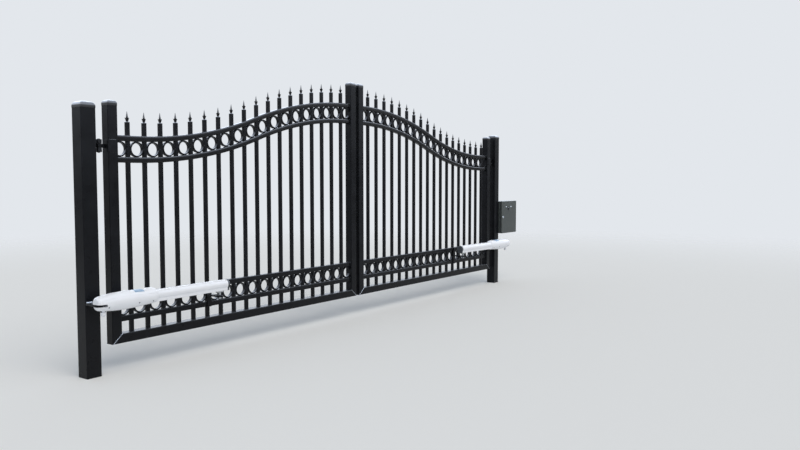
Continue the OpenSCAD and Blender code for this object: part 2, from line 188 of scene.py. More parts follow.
@dataclass(frozen=True)
class Finish:
    """A surface finish: the uniform values of its shader and the patterns that break them up."""

    name: str
    colour: str
    roughness: float
    metallic: float = 0.0
    specular: float = 0.5
    dust: str = "#8d8a80"
    dust_share: float = 0.0
    dust_size: float = 0.018
    dust_slope: float = 0.55
    mottle: str = ""
    mottle_size: float = 0.05
    mottle_share: float = 0.0
    peel_size: float = 0.004
    peel_depth: float = 0.0
    spangle_size: float = 0.0
    wear_size: float = 0.09

    def build(self) -> bpy.types.Material:
        """Makes the finish as a material, or returns the one made before.

        Returns:
            The node material.
        """
        known = bpy.data.materials.get(self.name)
        if known:
            return known
        material = bpy.data.materials.new(self.name)
        material.use_nodes = True
        tree = material.node_tree
        shader = tree.nodes["Principled BSDF"]
        shader.inputs["Metallic"].default_value = self.metallic
        shader.inputs["Specular IOR Level"].default_value = self.specular
        place = add_node(tree, "ShaderNodeTexCoord").outputs["Object"]
        colour = self._colour(tree, place)
        tree.links.new(colour, shader.inputs["Base Color"])
        tree.links.new(self._roughness(tree, place), shader.inputs["Roughness"])
        if self.peel_depth:
            peel = {"Vector": place, "Scale": 1 / self.peel_size, "Detail": 2.0}
            grain = add_node(tree, "ShaderNodeTexNoise", peel).outputs["Fac"]
            skin = {"Height": grain, "Distance": self.peel_depth}
            bump = add_node(tree, "ShaderNodeBump", skin).outputs["Normal"]
            tree.links.new(bump, shader.inputs["Normal"])
        return material

    def _colour(self, tree: bpy.types.NodeTree,
                place: bpy.types.NodeSocket) -> bpy.types.NodeSocket:
        """Builds the colour: base, mottling, spangle, then dust on what faces up.

        Args:
            tree: the material's node tree.
            place: object coordinates.

        Returns:
            The socket that holds the colour.
        """
        if self.spangle_size:
            grid = {"Vector": place, "Scale": 1 / self.spangle_size}
            cells = add_node(tree, "ShaderNodeTexVoronoi", grid).outputs["Color"]
            share = add_node(tree, "ShaderNodeSeparateColor", {"Color": cells}).outputs["Red"]
        else:
            scale = 1 / self.mottle_size
            cloud = {"Vector": place, "Scale": scale, "Detail": 5.0, "Roughness": 0.6}
            share = add_node(tree, "ShaderNodeTexNoise", cloud).outputs["Fac"]
        spread = {"Value": share, "From Min": 0.3, "From Max": 0.75, "To Max": self.mottle_share}
        share = add_node(tree, "ShaderNodeMapRange", spread).outputs["Result"]
        mottled = mix_colours(tree, share, linear(self.colour), linear(self.mottle or self.colour))
        if not self.dust_share:
            return mottled
        normal = add_node(tree, "ShaderNodeNewGeometry").outputs["Normal"]
        up = add_node(tree, "ShaderNodeSeparateXYZ", {0: normal}).outputs["Z"]
        cloud = {"Vector": place, "Scale": 1 / self.dust_size, "Detail": 6.0}
        speck = add_node(tree, "ShaderNodeTexNoise", cloud).outputs["Fac"]
        facing = {"Value": up, "From Min": self.dust_slope, "To Max": self.dust_share}
        lying = add_node(tree, "ShaderNodeMapRange", facing).outputs["Result"]
        amount = add_node(tree, "ShaderNodeMath", {0: lying, 1: speck}, operation="MULTIPLY")
        return mix_colours(tree, amount.outputs[0], mottled, linear(self.dust))

    def _roughness(self, tree: bpy.types.NodeTree,
                   place: bpy.types.NodeSocket) -> bpy.types.NodeSocket:
        """Builds the roughness, which wanders a little over hand-wide patches.

        Args:
            tree: the material's node tree.
            place: object coordinates.

        Returns:
            The socket that holds the roughness.
        """
        cloud = {"Vector": place, "Scale": 1 / self.wear_size, "Detail": 4.0}
        patch = add_node(tree, "ShaderNodeTexNoise", cloud).outputs["Fac"]
        low, high = self.roughness * 0.85, min(1.0, self.roughness * 1.2)
        spread = {"Value": patch, "From Min": 0.3, "From Max": 0.7, "To Min": low, "To Max": high}
        return add_node(tree, "ShaderNodeMapRange", spread).outputs["Result"]


# Alkyd gate enamel sprayed over primed steel: near black, satin, with a little road dust
ENAMEL = Finish(
    "satin_black_enamel", "#0f1013", 0.3, specular=0.14, dust="#77766f", dust_share=0.08,
    mottle="#151619", mottle_share=0.6, peel_size=0.0035, peel_depth=0.00005,
)
# The same enamel run thicker on the bent rails of the crown, whose rounded edges shine
RAIL_ENAMEL = Finish(
    "flowed_black_enamel", "#08090c", 0.24, specular=0.3, dust="#77766f", dust_share=0.05,
    mottle="#0e0f13", mottle_share=0.6, peel_size=0.0035, peel_depth=0.00005,
)
# The same enamel on sand castings, whose skin is coarser and holds more dust
CAST_ENAMEL = Finish(
    "cast_black_enamel", "#0b0c0f", 0.4, specular=0.24, dust="#8c8a82", dust_share=0.14,
    mottle="#141518", mottle_share=0.7, peel_size=0.002, peel_depth=0.0001,
)
# Glossier enamel on the pressed caps and the forged spears, which catch the sky
GLOSS_ENAMEL = Finish(
    "gloss_black_enamel", "#07080b", 0.2, specular=0.5, dust="#8c8a82", dust_share=0.05,
    mottle="#0d0e12", mottle_share=0.6, peel_size=0.004, peel_depth=0.00004,
)
# Weld metal left bare where a mitre was ground back; the same pale metal laid along the arm's post
# tongue is a painted highlight
GROUND_WELD_AND_HIGHLIGHT = Finish(
    "ground_weld_metal", "#a3a8ae", 0.42, metallic=0.6, mottle="#7d8187", mottle_size=0.01,
    mottle_share=0.6, peel_size=0.002, peel_depth=0.0001,
)
# Polyester powder coat on aluminium: smooth, slightly cool white with a fine orange peel
POWDER = Finish(
    "white_powder_coat", "#eff1f5", 0.36, specular=0.3, dust="#cfcabb", dust_share=0.2,
    mottle="#e6e8ec", mottle_share=0.5, peel_size=0.003, peel_depth=0.00004,
)
# Hot-dip galvanised steel: dull grey crystals of zinc
GALVANISED = Finish(
    "galvanised_steel", "#9a9fa3", 0.48, metallic=0.85, mottle="#c2c6c9", mottle_share=0.8,
    spangle_size=0.009, peel_size=0.006, peel_depth=0.00004,
)
# Bright zinc plate on screws, nuts and pins
ZINC_PLATE = Finish(
    "zinc_plated_steel", "#b8bbbd", 0.3, metallic=1.0, mottle="#9da1a5", mottle_share=0.6,
)
# Grey-green baked enamel on sheet steel, chalked by the weather
BOX_ENAMEL = Finish(
    "grey_green_enamel", "#404442", 0.45, specular=0.35, dust="#a6a79c", dust_share=0.3,
    mottle="#4c514e", mottle_size=0.03, mottle_share=0.55, peel_size=0.004, peel_depth=0.00005,
)
# Injection-moulded nylon of the arm's end cap and the knob: dark, matt, finely grained
MOULDED = Finish(
    "moulded_nylon", "#2b2e31", 0.55, mottle="#34373a", mottle_share=0.5, peel_size=0.0012,
    peel_depth=0.00005,
)
# Pale polycarbonate of the release cover on each arm
COVER_PLASTIC = Finish(
    "pale_polycarbonate", "#89a5be", 0.35, specular=0.2, mottle="#96b0c6", mottle_share=0.4,
)
# Closed-cell rubber of the door seal
SEAL_RUBBER = Finish("seal_rubber", "#17181a", 0.8, mottle="#202124", mottle_share=0.5)


class Piece:
    """One mesh while it is built; a leaf's or an arm's stands in the left half's place."""

    def __init__(self, name: str) -> None:
        """Starts an empty mesh.

        Args:
            name: the name that the finished object gets.
        """
        self.name = name
        self.mesh = bmesh.new()

    def loft(self, rings: Sequence[Ring], looped: bool = False) -> Piece:
        """Skins a row of rings that all have the same number of points.

        Args:
            rings: the rings in order.
            looped: True where the last ring meets the first; otherwise both ends are closed.

        Returns:
            The piece itself.
        """
        rows = [[self.mesh.verts.new(point) for point in ring] for ring in rings]
        pairs = list(zip(rows, rows[1:])) + ([(rows[-1], rows[0])] if looped else [])
        for low, high in pairs:
            for i in range(len(low)):
                j = (i + 1) % len(low)
                self.mesh.faces.new((low[i], low[j], high[j], high[i]))
        if not looped:
            self.mesh.faces.new(rows[0])
            self.mesh.faces.new(rows[-1])
        return self

    def lathe(self, profile: Profile, place: Matrix, sides: int = 40,
              looped: bool = False) -> Piece:
        """Turns a profile about its own Z axis.

        Args:
            profile: radius and height of each point; a radius of zero makes a pole.
            place: where the turned shape goes.
            sides: number of steps round the axis.
            looped: True for a closed profile, such as a washer's.

        Returns:
            The piece itself.
        """
        rows = []
        for radius, height in profile:
            count = sides if radius else 1
            angles = [2 * math.pi * i / sides for i in range(count)]
            ring = [Vector((radius * math.cos(a), radius * math.sin(a), height)) for a in angles]
            rows.append([self.mesh.verts.new(place @ point) for point in ring])
        pairs = list(zip(rows, rows[1:])) + ([(rows[-1], rows[0])] if looped else [])
        for low, high in pairs:
            for i in range(sides):
                j = (i + 1) % sides
                under = (low[i % len(low)], low[j % len(low)])
                over = (high[j % len(high)], high[i % len(high)])
                # At a pole two corners are one, so that the face is a triangle
                corners = list(dict.fromkeys(under + over))
                if len(corners) > 2:
                    self.mesh.faces.new(corners)
        if not looped:
            for row in (rows[0], rows[-1]):
                if len(row) > 1:
                    self.mesh.faces.new(row)
        return self

    def box(self, low: Sequence[float], high: Sequence[float], edge: float = 1.2 * MM,
            steps: int = 2) -> Piece:
        """Adds a block with rounded edges.

        Args:
            low: its lowest corner.
            high: its highest corner.
            edge: radius of its edges.
            steps: number of faces across each edge.

        Returns:
            The piece itself.
        """
        middle = [(a + b) / 2 for a, b in zip(low, high)]
        size = [b - a for a, b in zip(low, high)]
        place = Matrix.Translation(middle) @ Matrix.Diagonal((*size, 1.0))
        made = bmesh.ops.create_cube(self.mesh, size=1.0, matrix=place)["verts"]
        self._round(made, edge, steps)
        return self

    def plate(self, outline: Profile, depth: float, place: Matrix,
              edge: float = 0.8 * MM) -> Piece:
        """Adds a flat plate with rounded edges, its outline drawn in its own X and Y.

        Args:
            outline: the corners in order.
            depth: thickness, half of it on each side of its own XY plane.
            place: where the plate goes.
            edge: radius of its edges, or zero.

        Returns:
            The piece itself.
        """
        rows = [
            [self.mesh.verts.new(place @ Vector((x, y, z))) for x, y in outline]
            for z in (-depth / 2, depth / 2)
        ]
        for i in range(len(outline)):
            j = (i + 1) % len(outline)
            self.mesh.faces.new((rows[0][i], rows[0][j], rows[1][j], rows[1][i]))
        self.mesh.faces.new(rows[0])
        self.mesh.faces.new(rows[1])
        if edge:
            self._round(rows[0] + rows[1], edge, 2)
        return self

    def _round(self, verts: Iterable[bmesh.types.BMVert], edge: float, steps: int) -> None:
        """Rounds the edges between the given corners.

        Args:
            verts: the corners.
            edge: radius of the rounding.
            steps: number of faces across it.
        """
        edges = list(dict.fromkeys(e for v in verts for e in v.link_edges))
        bmesh.ops.bevel(
            self.mesh, geom=edges, offset=edge, segments=steps, profile=0.5, affect="EDGES",
            clamp_overlap=True,
        )

    def master(self, sharp: float = SHARP_PLAIN) -> bpy.types.Object:
        """Turns the mesh into an object, to be handed in, repeated or cut.

        Args:
            sharp: angle in degrees past which an edge stays sharp.

        Returns:
            The object.
        """
        bmesh.ops.remove_doubles(self.mesh, verts=self.mesh.verts, dist=MERGE_WITHIN)
        bmesh.ops.recalc_face_normals(self.mesh, faces=self.mesh.faces)
        data = bpy.data.meshes.new(self.name)
        self.mesh.to_mesh(data)
        self.mesh.free()
        data.shade_smooth()
        data.set_sharp_from_angle(angle=math.radians(sharp))
        made = bpy.data.objects.new(self.name, data)
        bpy.context.scene.collection.objects.link(made)
        return made


@dataclass(frozen=True)
class Home:
    """Where a finished piece belongs: its half of the gate, its body and slot, what it replaces."""

    side: Side
    body: str
    slot: Slot
    replaced: tuple[str, ...] = ()


def hand_in(made: bpy.types.Object, finish: Finish, home: Home,
            span: float) -> bpy.types.Object:
    """Places a finished mesh on its half of the gate, gives it its finish and fixes it to its body.

    Args:
        made: the object, in the left half's place.
        finish: its surface.
        home: the half, body, slot and CAD nodes it stands for.
        span: distance between the posts, about whose middle the right half is mirrored.

    Returns:
        The object.
    """
    if home.side is Side.RIGHT:
        mirror = Matrix.Translation((span, 0, 0)) @ Matrix.Diagonal((-1.0, 1.0, 1.0, 1.0))
        made.data.transform(mirror)
        made.data.flip_normals()
    made.data.materials.clear()
    made.data.materials.append(finish.build())
    weights = made.modifiers.new("even_normals", "WEIGHTED_NORMAL")
    weights.keep_sharp = True
    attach(made, home.body)
    if home.replaced:
        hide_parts(*home.replaced)
    LOG.info("%s: %d faces on %s", made.name, len(made.data.polygons), home.body)
    return made


class GeometryTree:
    """A Geometry Nodes tree with named inputs, which ends in Realize Instances and Set Material."""

    def __init__(self, name: str) -> None:
        """Starts a tree whose first input is a geometry.

        Args:
            name: the tree's name.
        """
        self.tree = bpy.data.node_groups.new(name, "GeometryNodeTree")
        self.keys: dict[str, str] = {}
        sockets = self.tree.interface
        sockets.new_socket("Geometry", in_out="OUTPUT", socket_type=Input.SHAPE.value)
        self._declare("Geometry", Input.SHAPE)
        self.entry = add_node(self.tree, "NodeGroupInput")
        self.exit = add_node(self.tree, "NodeGroupOutput")

    def _declare(self, name: str, kind: Input) -> None:
        """Adds one input to the tree's interface.

        Args:
            name: the input's name.
            kind: what it takes.
        """
        made = self.tree.interface.new_socket(name, in_out="INPUT", socket_type=kind.value)
        self.keys[name] = made.identifier

    def declare(self, **inputs: Input) -> None:
        """Adds named inputs; an underscore in a name becomes a space.

        Args:
            **inputs: each input's name and what it takes.
        """
        for name, kind in inputs.items():
            self._declare(name.replace("_", " "), kind)

    def get(self, name: str) -> bpy.types.NodeSocket:
        """Returns the socket of a named input."""
        return self.entry.outputs[name]

    def add(self, kind: str, feeds: dict | None = None, **settings: Any) -> bpy.types.NodeSocket:
        """Adds a node and returns its first output."""
        return add_node(self.tree, kind, feeds, **settings).outputs[0]

    def close(self, shape: bpy.types.NodeSocket) -> None:
        """Ends the tree: instances become real and get the material.

        Args:
            shape: the geometry made so far.
        """
        smooth = self.add("GeometryNodeSetShadeSmooth", {"Geometry": shape})
        real = self.add("GeometryNodeRealizeInstances", {"Geometry": smooth})
        dressing = {"Geometry": real, "Material": self.get("Material")}
        dressed = self.add("GeometryNodeSetMaterial", dressing)
        self.tree.links.new(dressed, self.exit.inputs["Geometry"])

    def run(self, name: str, seed: bpy.types.Mesh, sharp: float = SHARP_PLAIN,
            **values: Any) -> bpy.types.Object:
        """Runs the tree on a mesh and returns the result as a plain mesh object.

        Args:
            name: the new object's name.
            seed: the mesh that the tree starts from.
            sharp: angle in degrees past which an edge stays sharp.
            **values: the tree's inputs, with underscores for spaces.

        Returns:
            The object.
        """
        carrier = bpy.data.objects.new(name + "_seed", seed)
        bpy.context.scene.collection.objects.link(carrier)
        modifier = carrier.modifiers.new("tree", "NODES")
        modifier.node_group = self.tree
        for key, value in values.items():
            modifier[self.keys[key.replace("_", " ")]] = value
        graph = bpy.context.evaluated_depsgraph_get()
        data = bpy.data.meshes.new_from_object(carrier.evaluated_get(graph), depsgraph=graph)
        bpy.data.objects.remove(carrier)
        data.name = name
        data.set_sharp_from_angle(angle=math.radians(sharp))
        made = bpy.data.objects.new(name, data)
        bpy.context.scene.collection.objects.link(made)
        return made


def bar_tree() -> GeometryTree:
    """Builds the tree that sweeps a rounded rectangle along a line of points.

    Returns:
        A tree with the inputs Width, Depth, Corner Radius and Material.
    """
    tree = GeometryTree("rounded_bar_along_path")
    tree.declare(
        Width=Input.NUMBER, Depth=Input.NUMBER, Corner_Radius=Input.NUMBER, Material=Input.MATERIAL,
    )
    path = tree.add("GeometryNodeMeshToCurve", {"Mesh": tree.get("Geometry")})
    path = tree.add("GeometryNodeSetCurveNormal", {"Curve": path}, mode="Z_UP")
    size = {"Width": tree.get("Width"), "Height": tree.get("Depth")}
    outline = tree.add("GeometryNodeCurvePrimitiveQuadrilateral", size)
    rounding = {"Curve": outline, "Count": 4, "Radius": tree.get("Corner Radius")}
    outline = tree.add("GeometryNodeFilletCurve", rounding, mode="POLY")
    bar = {"Curve": path, "Profile Curve": outline, "Fill Caps": True}
    tree.close(tree.add("GeometryNodeCurveToMesh", bar))
    return tree


def repeat_tree() -> GeometryTree:
    """Builds the tree that sets a piece on every point, by the points' turn and stretch attributes.

    Returns:
        A tree with the inputs Piece, Size and Material.
    """
    tree = GeometryTree("piece_on_points")
    tree.declare(Piece=Input.OBJECT, Size=Input.NUMBER, Material=Input.MATERIAL)
    info = add_node(tree.tree, "GeometryNodeObjectInfo", {"Object": tree.get("Piece")})
    turn, stretch = (
        tree.add("GeometryNodeInputNamedAttribute", {"Name": name}, data_type="FLOAT_VECTOR")
        for name in ("turn", "stretch")
    )
    scaling = {0: stretch, "Scale": tree.get("Size")}
    size = tree.add("ShaderNodeVectorMath", scaling, operation="SCALE")
    placed = {
        "Points": tree.get("Geometry"), "Instance": info.outputs["Geometry"], "Rotation": turn,
        "Scale": size,
    }
    tree.close(tree.add("GeometryNodeInstanceOnPoints", placed))
    return tree


def bead_tree() -> GeometryTree:
    """Builds the tree that lays a rippled weld bead along lines of points.

    Returns:
        A tree with the inputs Bead Radius, Ripple and Material.
    """
    tree = GeometryTree("weld_bead_along_path")
    tree.declare(Bead_Radius=Input.NUMBER, Ripple=Input.NUMBER, Material=Input.MATERIAL)
    path = tree.add("GeometryNodeMeshToCurve", {"Mesh": tree.get("Geometry")})
    spacing = {"Curve": path, "Length": tree.get("Ripple")}
    path = tree.add("GeometryNodeResampleCurve", spacing, mode="LENGTH")
    place = tree.add("GeometryNodeInputPosition")
    grain = {"Vector": place, "Scale": 310.0, "Detail": 1.0}
    wave = add_node(tree.tree, "ShaderNodeTexNoise", grain).outputs["Fac"]
    spread = {"Value": wave, "From Min": 0.3, "From Max": 0.7, "To Min": 0.75, "To Max": 1.2}
    swell = add_node(tree.tree, "ShaderNodeMapRange", spread).outputs["Result"]
    section = {"Resolution": 6, "Radius": tree.get("Bead Radius")}
    outline = tree.add("GeometryNodeCurvePrimitiveCircle", section)
    bead = {"Curve": path, "Profile Curve": outline, "Scale": swell, "Fill Caps": True}
    tree.close(tree.add("GeometryNodeCurveToMesh", bead))
    return tree


def line_mesh(lines: Iterable[Sequence[Vector]], closed: bool = False) -> bpy.types.Mesh:
    """Makes a mesh of bare edges, which a tree turns into curves.

    Args:
        lines: the points of each line.
        closed: True where each line returns to its start.

    Returns:
        The mesh.
    """
    verts: list[Vector] = []
    edges: list[tuple[int, int]] = []
    for line in lines:
        start = len(verts)
        verts.extend(line)
        edges.extend((start + i, start + i + 1) for i in range(len(line) - 1))
        if closed:
            edges.append((start + len(line) - 1, start))
    mesh = bpy.data.meshes.new("path")
    mesh.from_pydata([tuple(v) for v in verts], edges, [])
    return mesh


@dataclass(frozen=True)
class Spot:
    """One place of a repeated piece."""

    at: Vector
    turn: tuple[float, float, float] = (0.0, 0.0, 0.0)
    stretch: tuple[float, float, float] = (1.0, 1.0, 1.0)


def spot_mesh(spots: Sequence[Spot]) -> bpy.types.Mesh:
    """Makes a mesh of bare points that carry the turn and the stretch of the pieces set on them.

    Args:
        spots: the places.

    Returns:
        The mesh.
    """
    mesh = bpy.data.meshes.new("spots")
    mesh.from_pydata([tuple(s.at) for s in spots], [], [])
    columns = {"turn": [s.turn for s in spots], "stretch": [s.stretch for s in spots]}
    for name, rows in columns.items():
        attribute = mesh.attributes.new(name, "FLOAT_VECTOR", "POINT")
        attribute.data.foreach_set("vector", [value for row in rows for value in row])
    return mesh


def rounded_square(width: float, corner: float, depth: float | None = None,
                   steps: int = 4) -> list[tuple[float, float]]:
    """Draws a square or rectangle with round corners, centred on zero.

    Args:
        width: its size along X.
        corner: radius of its corners.
        depth: its size along Y, or None for a square.
        steps: number of chords in each corner.

    Returns:
        The points, counter-clockwise.
    """
    half_x, half_y = width / 2 - corner, (width if depth is None else depth) / 2 - corner
    points = []
    for quarter, (sx, sy) in enumerate(((1, 1), (-1, 1), (-1, -1), (1, -1))):
        for i in range(steps + 1):
            a = math.pi / 2 * (quarter + i / steps)
            points.append((sx * half_x + corner * math.cos(a), sy * half_y + corner * math.sin(a)))
    return points


@dataclass(frozen=True)
class CrownCurve:
    """The line of the top rail's upper edge: level, a hollow bend, a slope, a round bend, level."""

    start: float
    end: float
    low: float
    high: float
    flat: float = 138 * MM
    low_radius: float = 3040 * MM
    high_radius: float = 3330 * MM
    slope: float = math.radians(20.2)

    @property
    def bend_in(self) -> float:
        """Place where the hollow bend starts."""
        return self.start + self.flat

    @property
    def bend_out(self) -> float:
        """Place where the round bend ends."""
        radii = self.low_radius + self.high_radius
        rise = self.high - self.low - radii * (1 - math.cos(self.slope))
        run = rise / math.tan(self.slope)
        return self.bend_in + radii * math.sin(self.slope) + run

    def points(self, drop: float, steps: int = 28) -> list[Vector]:
        """Lists points along the line that runs under the rail's upper edge.

        Args:
            drop: distance under that edge.
            steps: number of chords in each bend.

        Returns:
            The points, from the hinge stile to the meeting stile.
        """
        low_r, high_r = self.low_radius + drop, self.high_radius - drop
        low_mid, high_mid = self.low + self.low_radius, self.high - self.high_radius
        angles = [self.slope * i / steps for i in range(steps + 1)]
        line = [(self.start, self.low - drop)]
        line += [
            (self.bend_in + low_r * math.sin(a), low_mid - low_r * math.cos(a)) for a in angles
        ]
        line += [
            (self.bend_out - high_r * math.sin(a), high_mid + high_r * math.cos(a))
            for a in reversed(angles)
        ]
        line.append((self.end, self.high - drop))
        return [Vector((x, 0.0, z)) for x, z in line]

    def height(self, x: float, drop: float = 0.0) -> float:
        """Works out the height of that line at a place along the leaf.

        Args:
            x: the place, along the gate.
            drop: distance under the rail's upper edge.

        Returns:
            The height.
        """
        low_r, high_r = self.low_radius + drop, self.high_radius - drop
        slope_in = self.bend_in + low_r * math.sin(self.slope)
        slope_out = self.bend_out - high_r * math.sin(self.slope)
        if x <= self.bend_in:
            return self.low - drop
        if x <= slope_in:
            return self.low + self.low_radius - math.sqrt(low_r**2 - (x - self.bend_in) ** 2)
        if x <= slope_out:
            foot = self.low + self.low_radius - low_r * math.cos(self.slope)
            return foot + (x - slope_in) * math.tan(self.slope)
        if x <= self.bend_out:
            return self.high - self.high_radius + math.sqrt(high_r**2 - (self.bend_out - x) ** 2)
        return self.high - drop


@dataclass(frozen=True)
class GateSizes:
    """Driving sizes of the gate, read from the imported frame."""

    span: float
    post_w: float
    post_tops: tuple[float, float]
    stile_x: float
    stile_w: float
    leaf_z: float
    foot_h: float
    hinge_top: float
    meeting_x: float
    meeting_top: float
    rail_w: float
    band_tops: tuple[float, float]
    picket_w: float
    picket_x: tuple[float, ...]
    crown: CrownCurve

    @classmethod
    def read(cls, pickets: int = 18) -> GateSizes:
        """Measures the frame's nodes.

        Args:
            pickets: number of pickets in a leaf.

        Returns:
            The sizes.
        """
        post, far_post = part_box("left_post"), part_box("right_post")
        stile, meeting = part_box("left_hinge_stile"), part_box("left_meeting_stile")
        bands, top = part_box("left_band_rails"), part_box("left_top_rail")
        bars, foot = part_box("left_pickets"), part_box("left_bottom_rail")
        rail_w, picket_w = bands[1].y - bands[0].y, bars[1].y - bars[0].y
        pitch = (bars[1].x - bars[0].x - picket_w) / (pickets - 1)
        return cls(
            span=(far_post[0].x + far_post[1].x) / 2,
            post_w=post[1].x - post[0].x,
            post_tops=(post[1].z, far_post[1].z),
            stile_x=stile[0].x,
            stile_w=stile[1].x - stile[0].x,
            leaf_z=stile[0].z,
            foot_h=foot[1].z - foot[0].z,
            hinge_top=stile[1].z,
            meeting_x=meeting[0].x,
            meeting_top=meeting[1].z,
            rail_w=rail_w,
            band_tops=(bands[0].z + rail_w, bands[1].z),
            picket_w=picket_w,
            picket_x=tuple(bars[0].x + picket_w / 2 + i * pitch for i in range(pickets)),
            crown=CrownCurve(stile[1].x, meeting[0].x, top[0].z + rail_w, top[1].z),
        )

    @property
    def field_x(self) -> float:
        """Inner face of the hinge stile."""
        return self.stile_x + self.stile_w

    @property
    def foot_top(self) -> float:
        """Height of the bottom rail's upper face."""
        return self.leaf_z + self.foot_h

    @property
    def gap(self) -> float:
        """Clear space between two pickets."""
        return self.picket_x[1] - self.picket_x[0] - self.picket_w

    @property
    def ring_x(self) -> list[float]:
        """Centres of the spaces between pickets, and of the two beside the stiles."""
        half_pitch = (self.gap + self.picket_w) / 2
        return [self.picket_x[0] - half_pitch] + [x + half_pitch for x in self.picket_x]


@dataclass
class Workshop:
    """What every sub-assembly is made with: the sizes, the three trees and a weld's ripple."""

    sizes: GateSizes
    bars: GeometryTree = field(default_factory=bar_tree)
    repeats: GeometryTree = field(default_factory=repeat_tree)
    beads: GeometryTree = field(default_factory=bead_tree)
    ripple: float = 4.5 * MM

    def finish(self, made: bpy.types.Object, finish: Finish, home: Home) -> bpy.types.Object:
        """Hands a mesh in to its body with its finish."""
        return hand_in(made, finish, home, self.sizes.span)

    def sweep(self, name: str, lines: Sequence[Sequence[Vector]], width: float, corner: float,
              finish: Finish, home: Home) -> bpy.types.Object:
        """Sweeps a rounded square tube along each line.

        Args:
            name: the piece's name.
            lines: points of each tube's centre line.
            width: width of the tube.
            corner: radius of its corners.
            finish: its surface.
            home: where it belongs.

        Returns:
            The piece.
        """
        made = self.bars.run(
            name, line_mesh(lines), SHARP_TUBE, Width=width, Depth=width, Corner_Radius=corner,
            Material=finish.build(),
        )
        return self.finish(made, finish, home)

    def repeat(self, name: str, piece: Piece, spots: Sequence[Spot], finish: Finish, home: Home,
               sharp: float = SHARP_PLAIN) -> bpy.types.Object:
        """Sets a piece on every spot and joins them in one mesh.

        Args:
            name: the joined piece's name.
            piece: what is repeated.
            spots: the places.
            finish: its surface.
            home: where it belongs.
            sharp: angle in degrees past which an edge stays sharp.

        Returns:
            The joined piece.
        """
        master = piece.master(sharp)
        made = self.repeats.run(
            name, spot_mesh(spots), sharp, Piece=master, Size=1.0, Material=finish.build(),
        )
        bpy.data.objects.remove(master)
        return self.finish(made, finish, home)

    def weld(self, name: str, lines: Sequence[Sequence[Vector]], radius: float, home: Home,
             closed: bool = False, finish: Finish = CAST_ENAMEL) -> bpy.types.Object:
        """Lays weld beads along lines.

        Args:
            name: the piece's name.
            lines: points of each bead.
            radius: mean radius of a bead.
            home: where it belongs.
            closed: True where each line returns to its start.
            finish: its surface.

        Returns:
            The piece.
        """
        made = self.beads.run(
            name, line_mesh(lines, closed), SHARP_BEAD, Bead_Radius=radius, Ripple=self.ripple,
            Material=finish.build(),
        )
        return self.finish(made, finish, home)


# A cap's crown from its eave to its tip: share of the width and share of the rise at each step
CAP_CROWN = (
    (0.985, 0.13), (0.94, 0.38), (0.86, 0.62), (0.73, 0.79),
    (0.56, 0.9), (0.36, 0.965), (0.16, 0.995), (0.03, 1.0),
)


def cap_rings(tube: float, top: float, at: Vector, lap: float = 1 * MM,
              skirt: float = 15 * MM) -> list[list[Vector]]:
    """Lists the rings of a crowned cap with a skirt.

    Args:
        tube: width of the tube under it.
        top: height of the tip.
        at: centre of the underside.
        lap: how far the skirt stands out over the tube.
        skirt: height of the skirt.

    Returns:
        The rings from the underside to the tip.
    """
    width, eave, rise = tube + 2 * lap, at.z + skirt, top - at.z - skirt
    corner = 6.5 * MM
    rows = [(at.z, width - 1.5 * MM, 6 * MM)]
    rows += [(at.z + 0.8 * MM, width, corner), (eave, width, corner)]
    rows += [
        (eave + rise * up, width * out, width * out * (0.06 + 0.2 * (1 - out)))
        for out, up in CAP_CROWN
    ]
    return [[Vector((at.x + x, at.y + y, z)) for x, y in rounded_square(w, r)] for z, w, r in rows]


@dataclass
class Posts:
    """The two posts with their crowned caps."""

    shop: Workshop
    corner: float = 7 * MM

    def build(self) -> None:
        """Makes both posts and both caps."""
        s = self.shop.sizes
        cap_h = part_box("post_caps")[1].z - max(s.post_tops)
        cap = Piece("post_caps_cast")
        for side, x, top in zip(Side, (0.0, s.span), s.post_tops):
            home = Home(side, "root", Slot.BLACK, (f"{side.value}_post",))
            line = [Vector((0, 0, 0)), Vector((0, 0, top))]
            name = f"{side.value}_post_tube"
            self.shop.sweep(name, [line], s.post_w, self.corner, ENAMEL, home)
            cap.loft(cap_rings(s.post_w, top + cap_h, Vector((x, 0, top))))
        home = Home(Side.LEFT, "root", Slot.BLACK, ("post_caps",))
        self.shop.finish(cap.master(SHARP_CAP), GLOSS_ENAMEL, home)


# A spear finial in millimetres. Its collar: height, width and corner radius of each section
FINIAL_COLLAR = (
    (0.0, 25.4, 2.0), (3.0, 25.4, 2.0), (4.0, 24.6, 2.5), (8.5, 14.5, 4.0), (11.0, 11.0, 4.0),
)
# Its spike: height and width of each section
FINIAL_SPIKE = (
    (9.0, 9.0), (16.0, 8.0), (30.0, 12.0), (39.0, 11.0), (56.0, 6.5), (72.0, 2.0), (74.0, 0.8),
)
# Each of its leaves: height, distance from the middle and width of each section
FINIAL_LEAF = (
    (8.0, 6.0, 9.0), (13.0, 7.0, 8.0), (20.0, 9.0, 9.0),
    (27.0, 12.5, 9.0), (31.0, 15.0, 6.0), (31.5, 17.0, 2.5),
)
# Half the thickness of a leaf
FINIAL_HALF = 1.6
# The profile of a weld tack, radius and height in millimetres
TACK = ((0.0, -2.4), (2.0, -1.6), (2.8, 0.0), (2.0, 1.6), (0.0, 2.4))


def in_mm(rows: Iterable[Sequence[float]]) -> list[tuple[float, ...]]:
    """Turns rows of millimetres into metres."""
    return [tuple(value * MM for value in row) for row in rows]


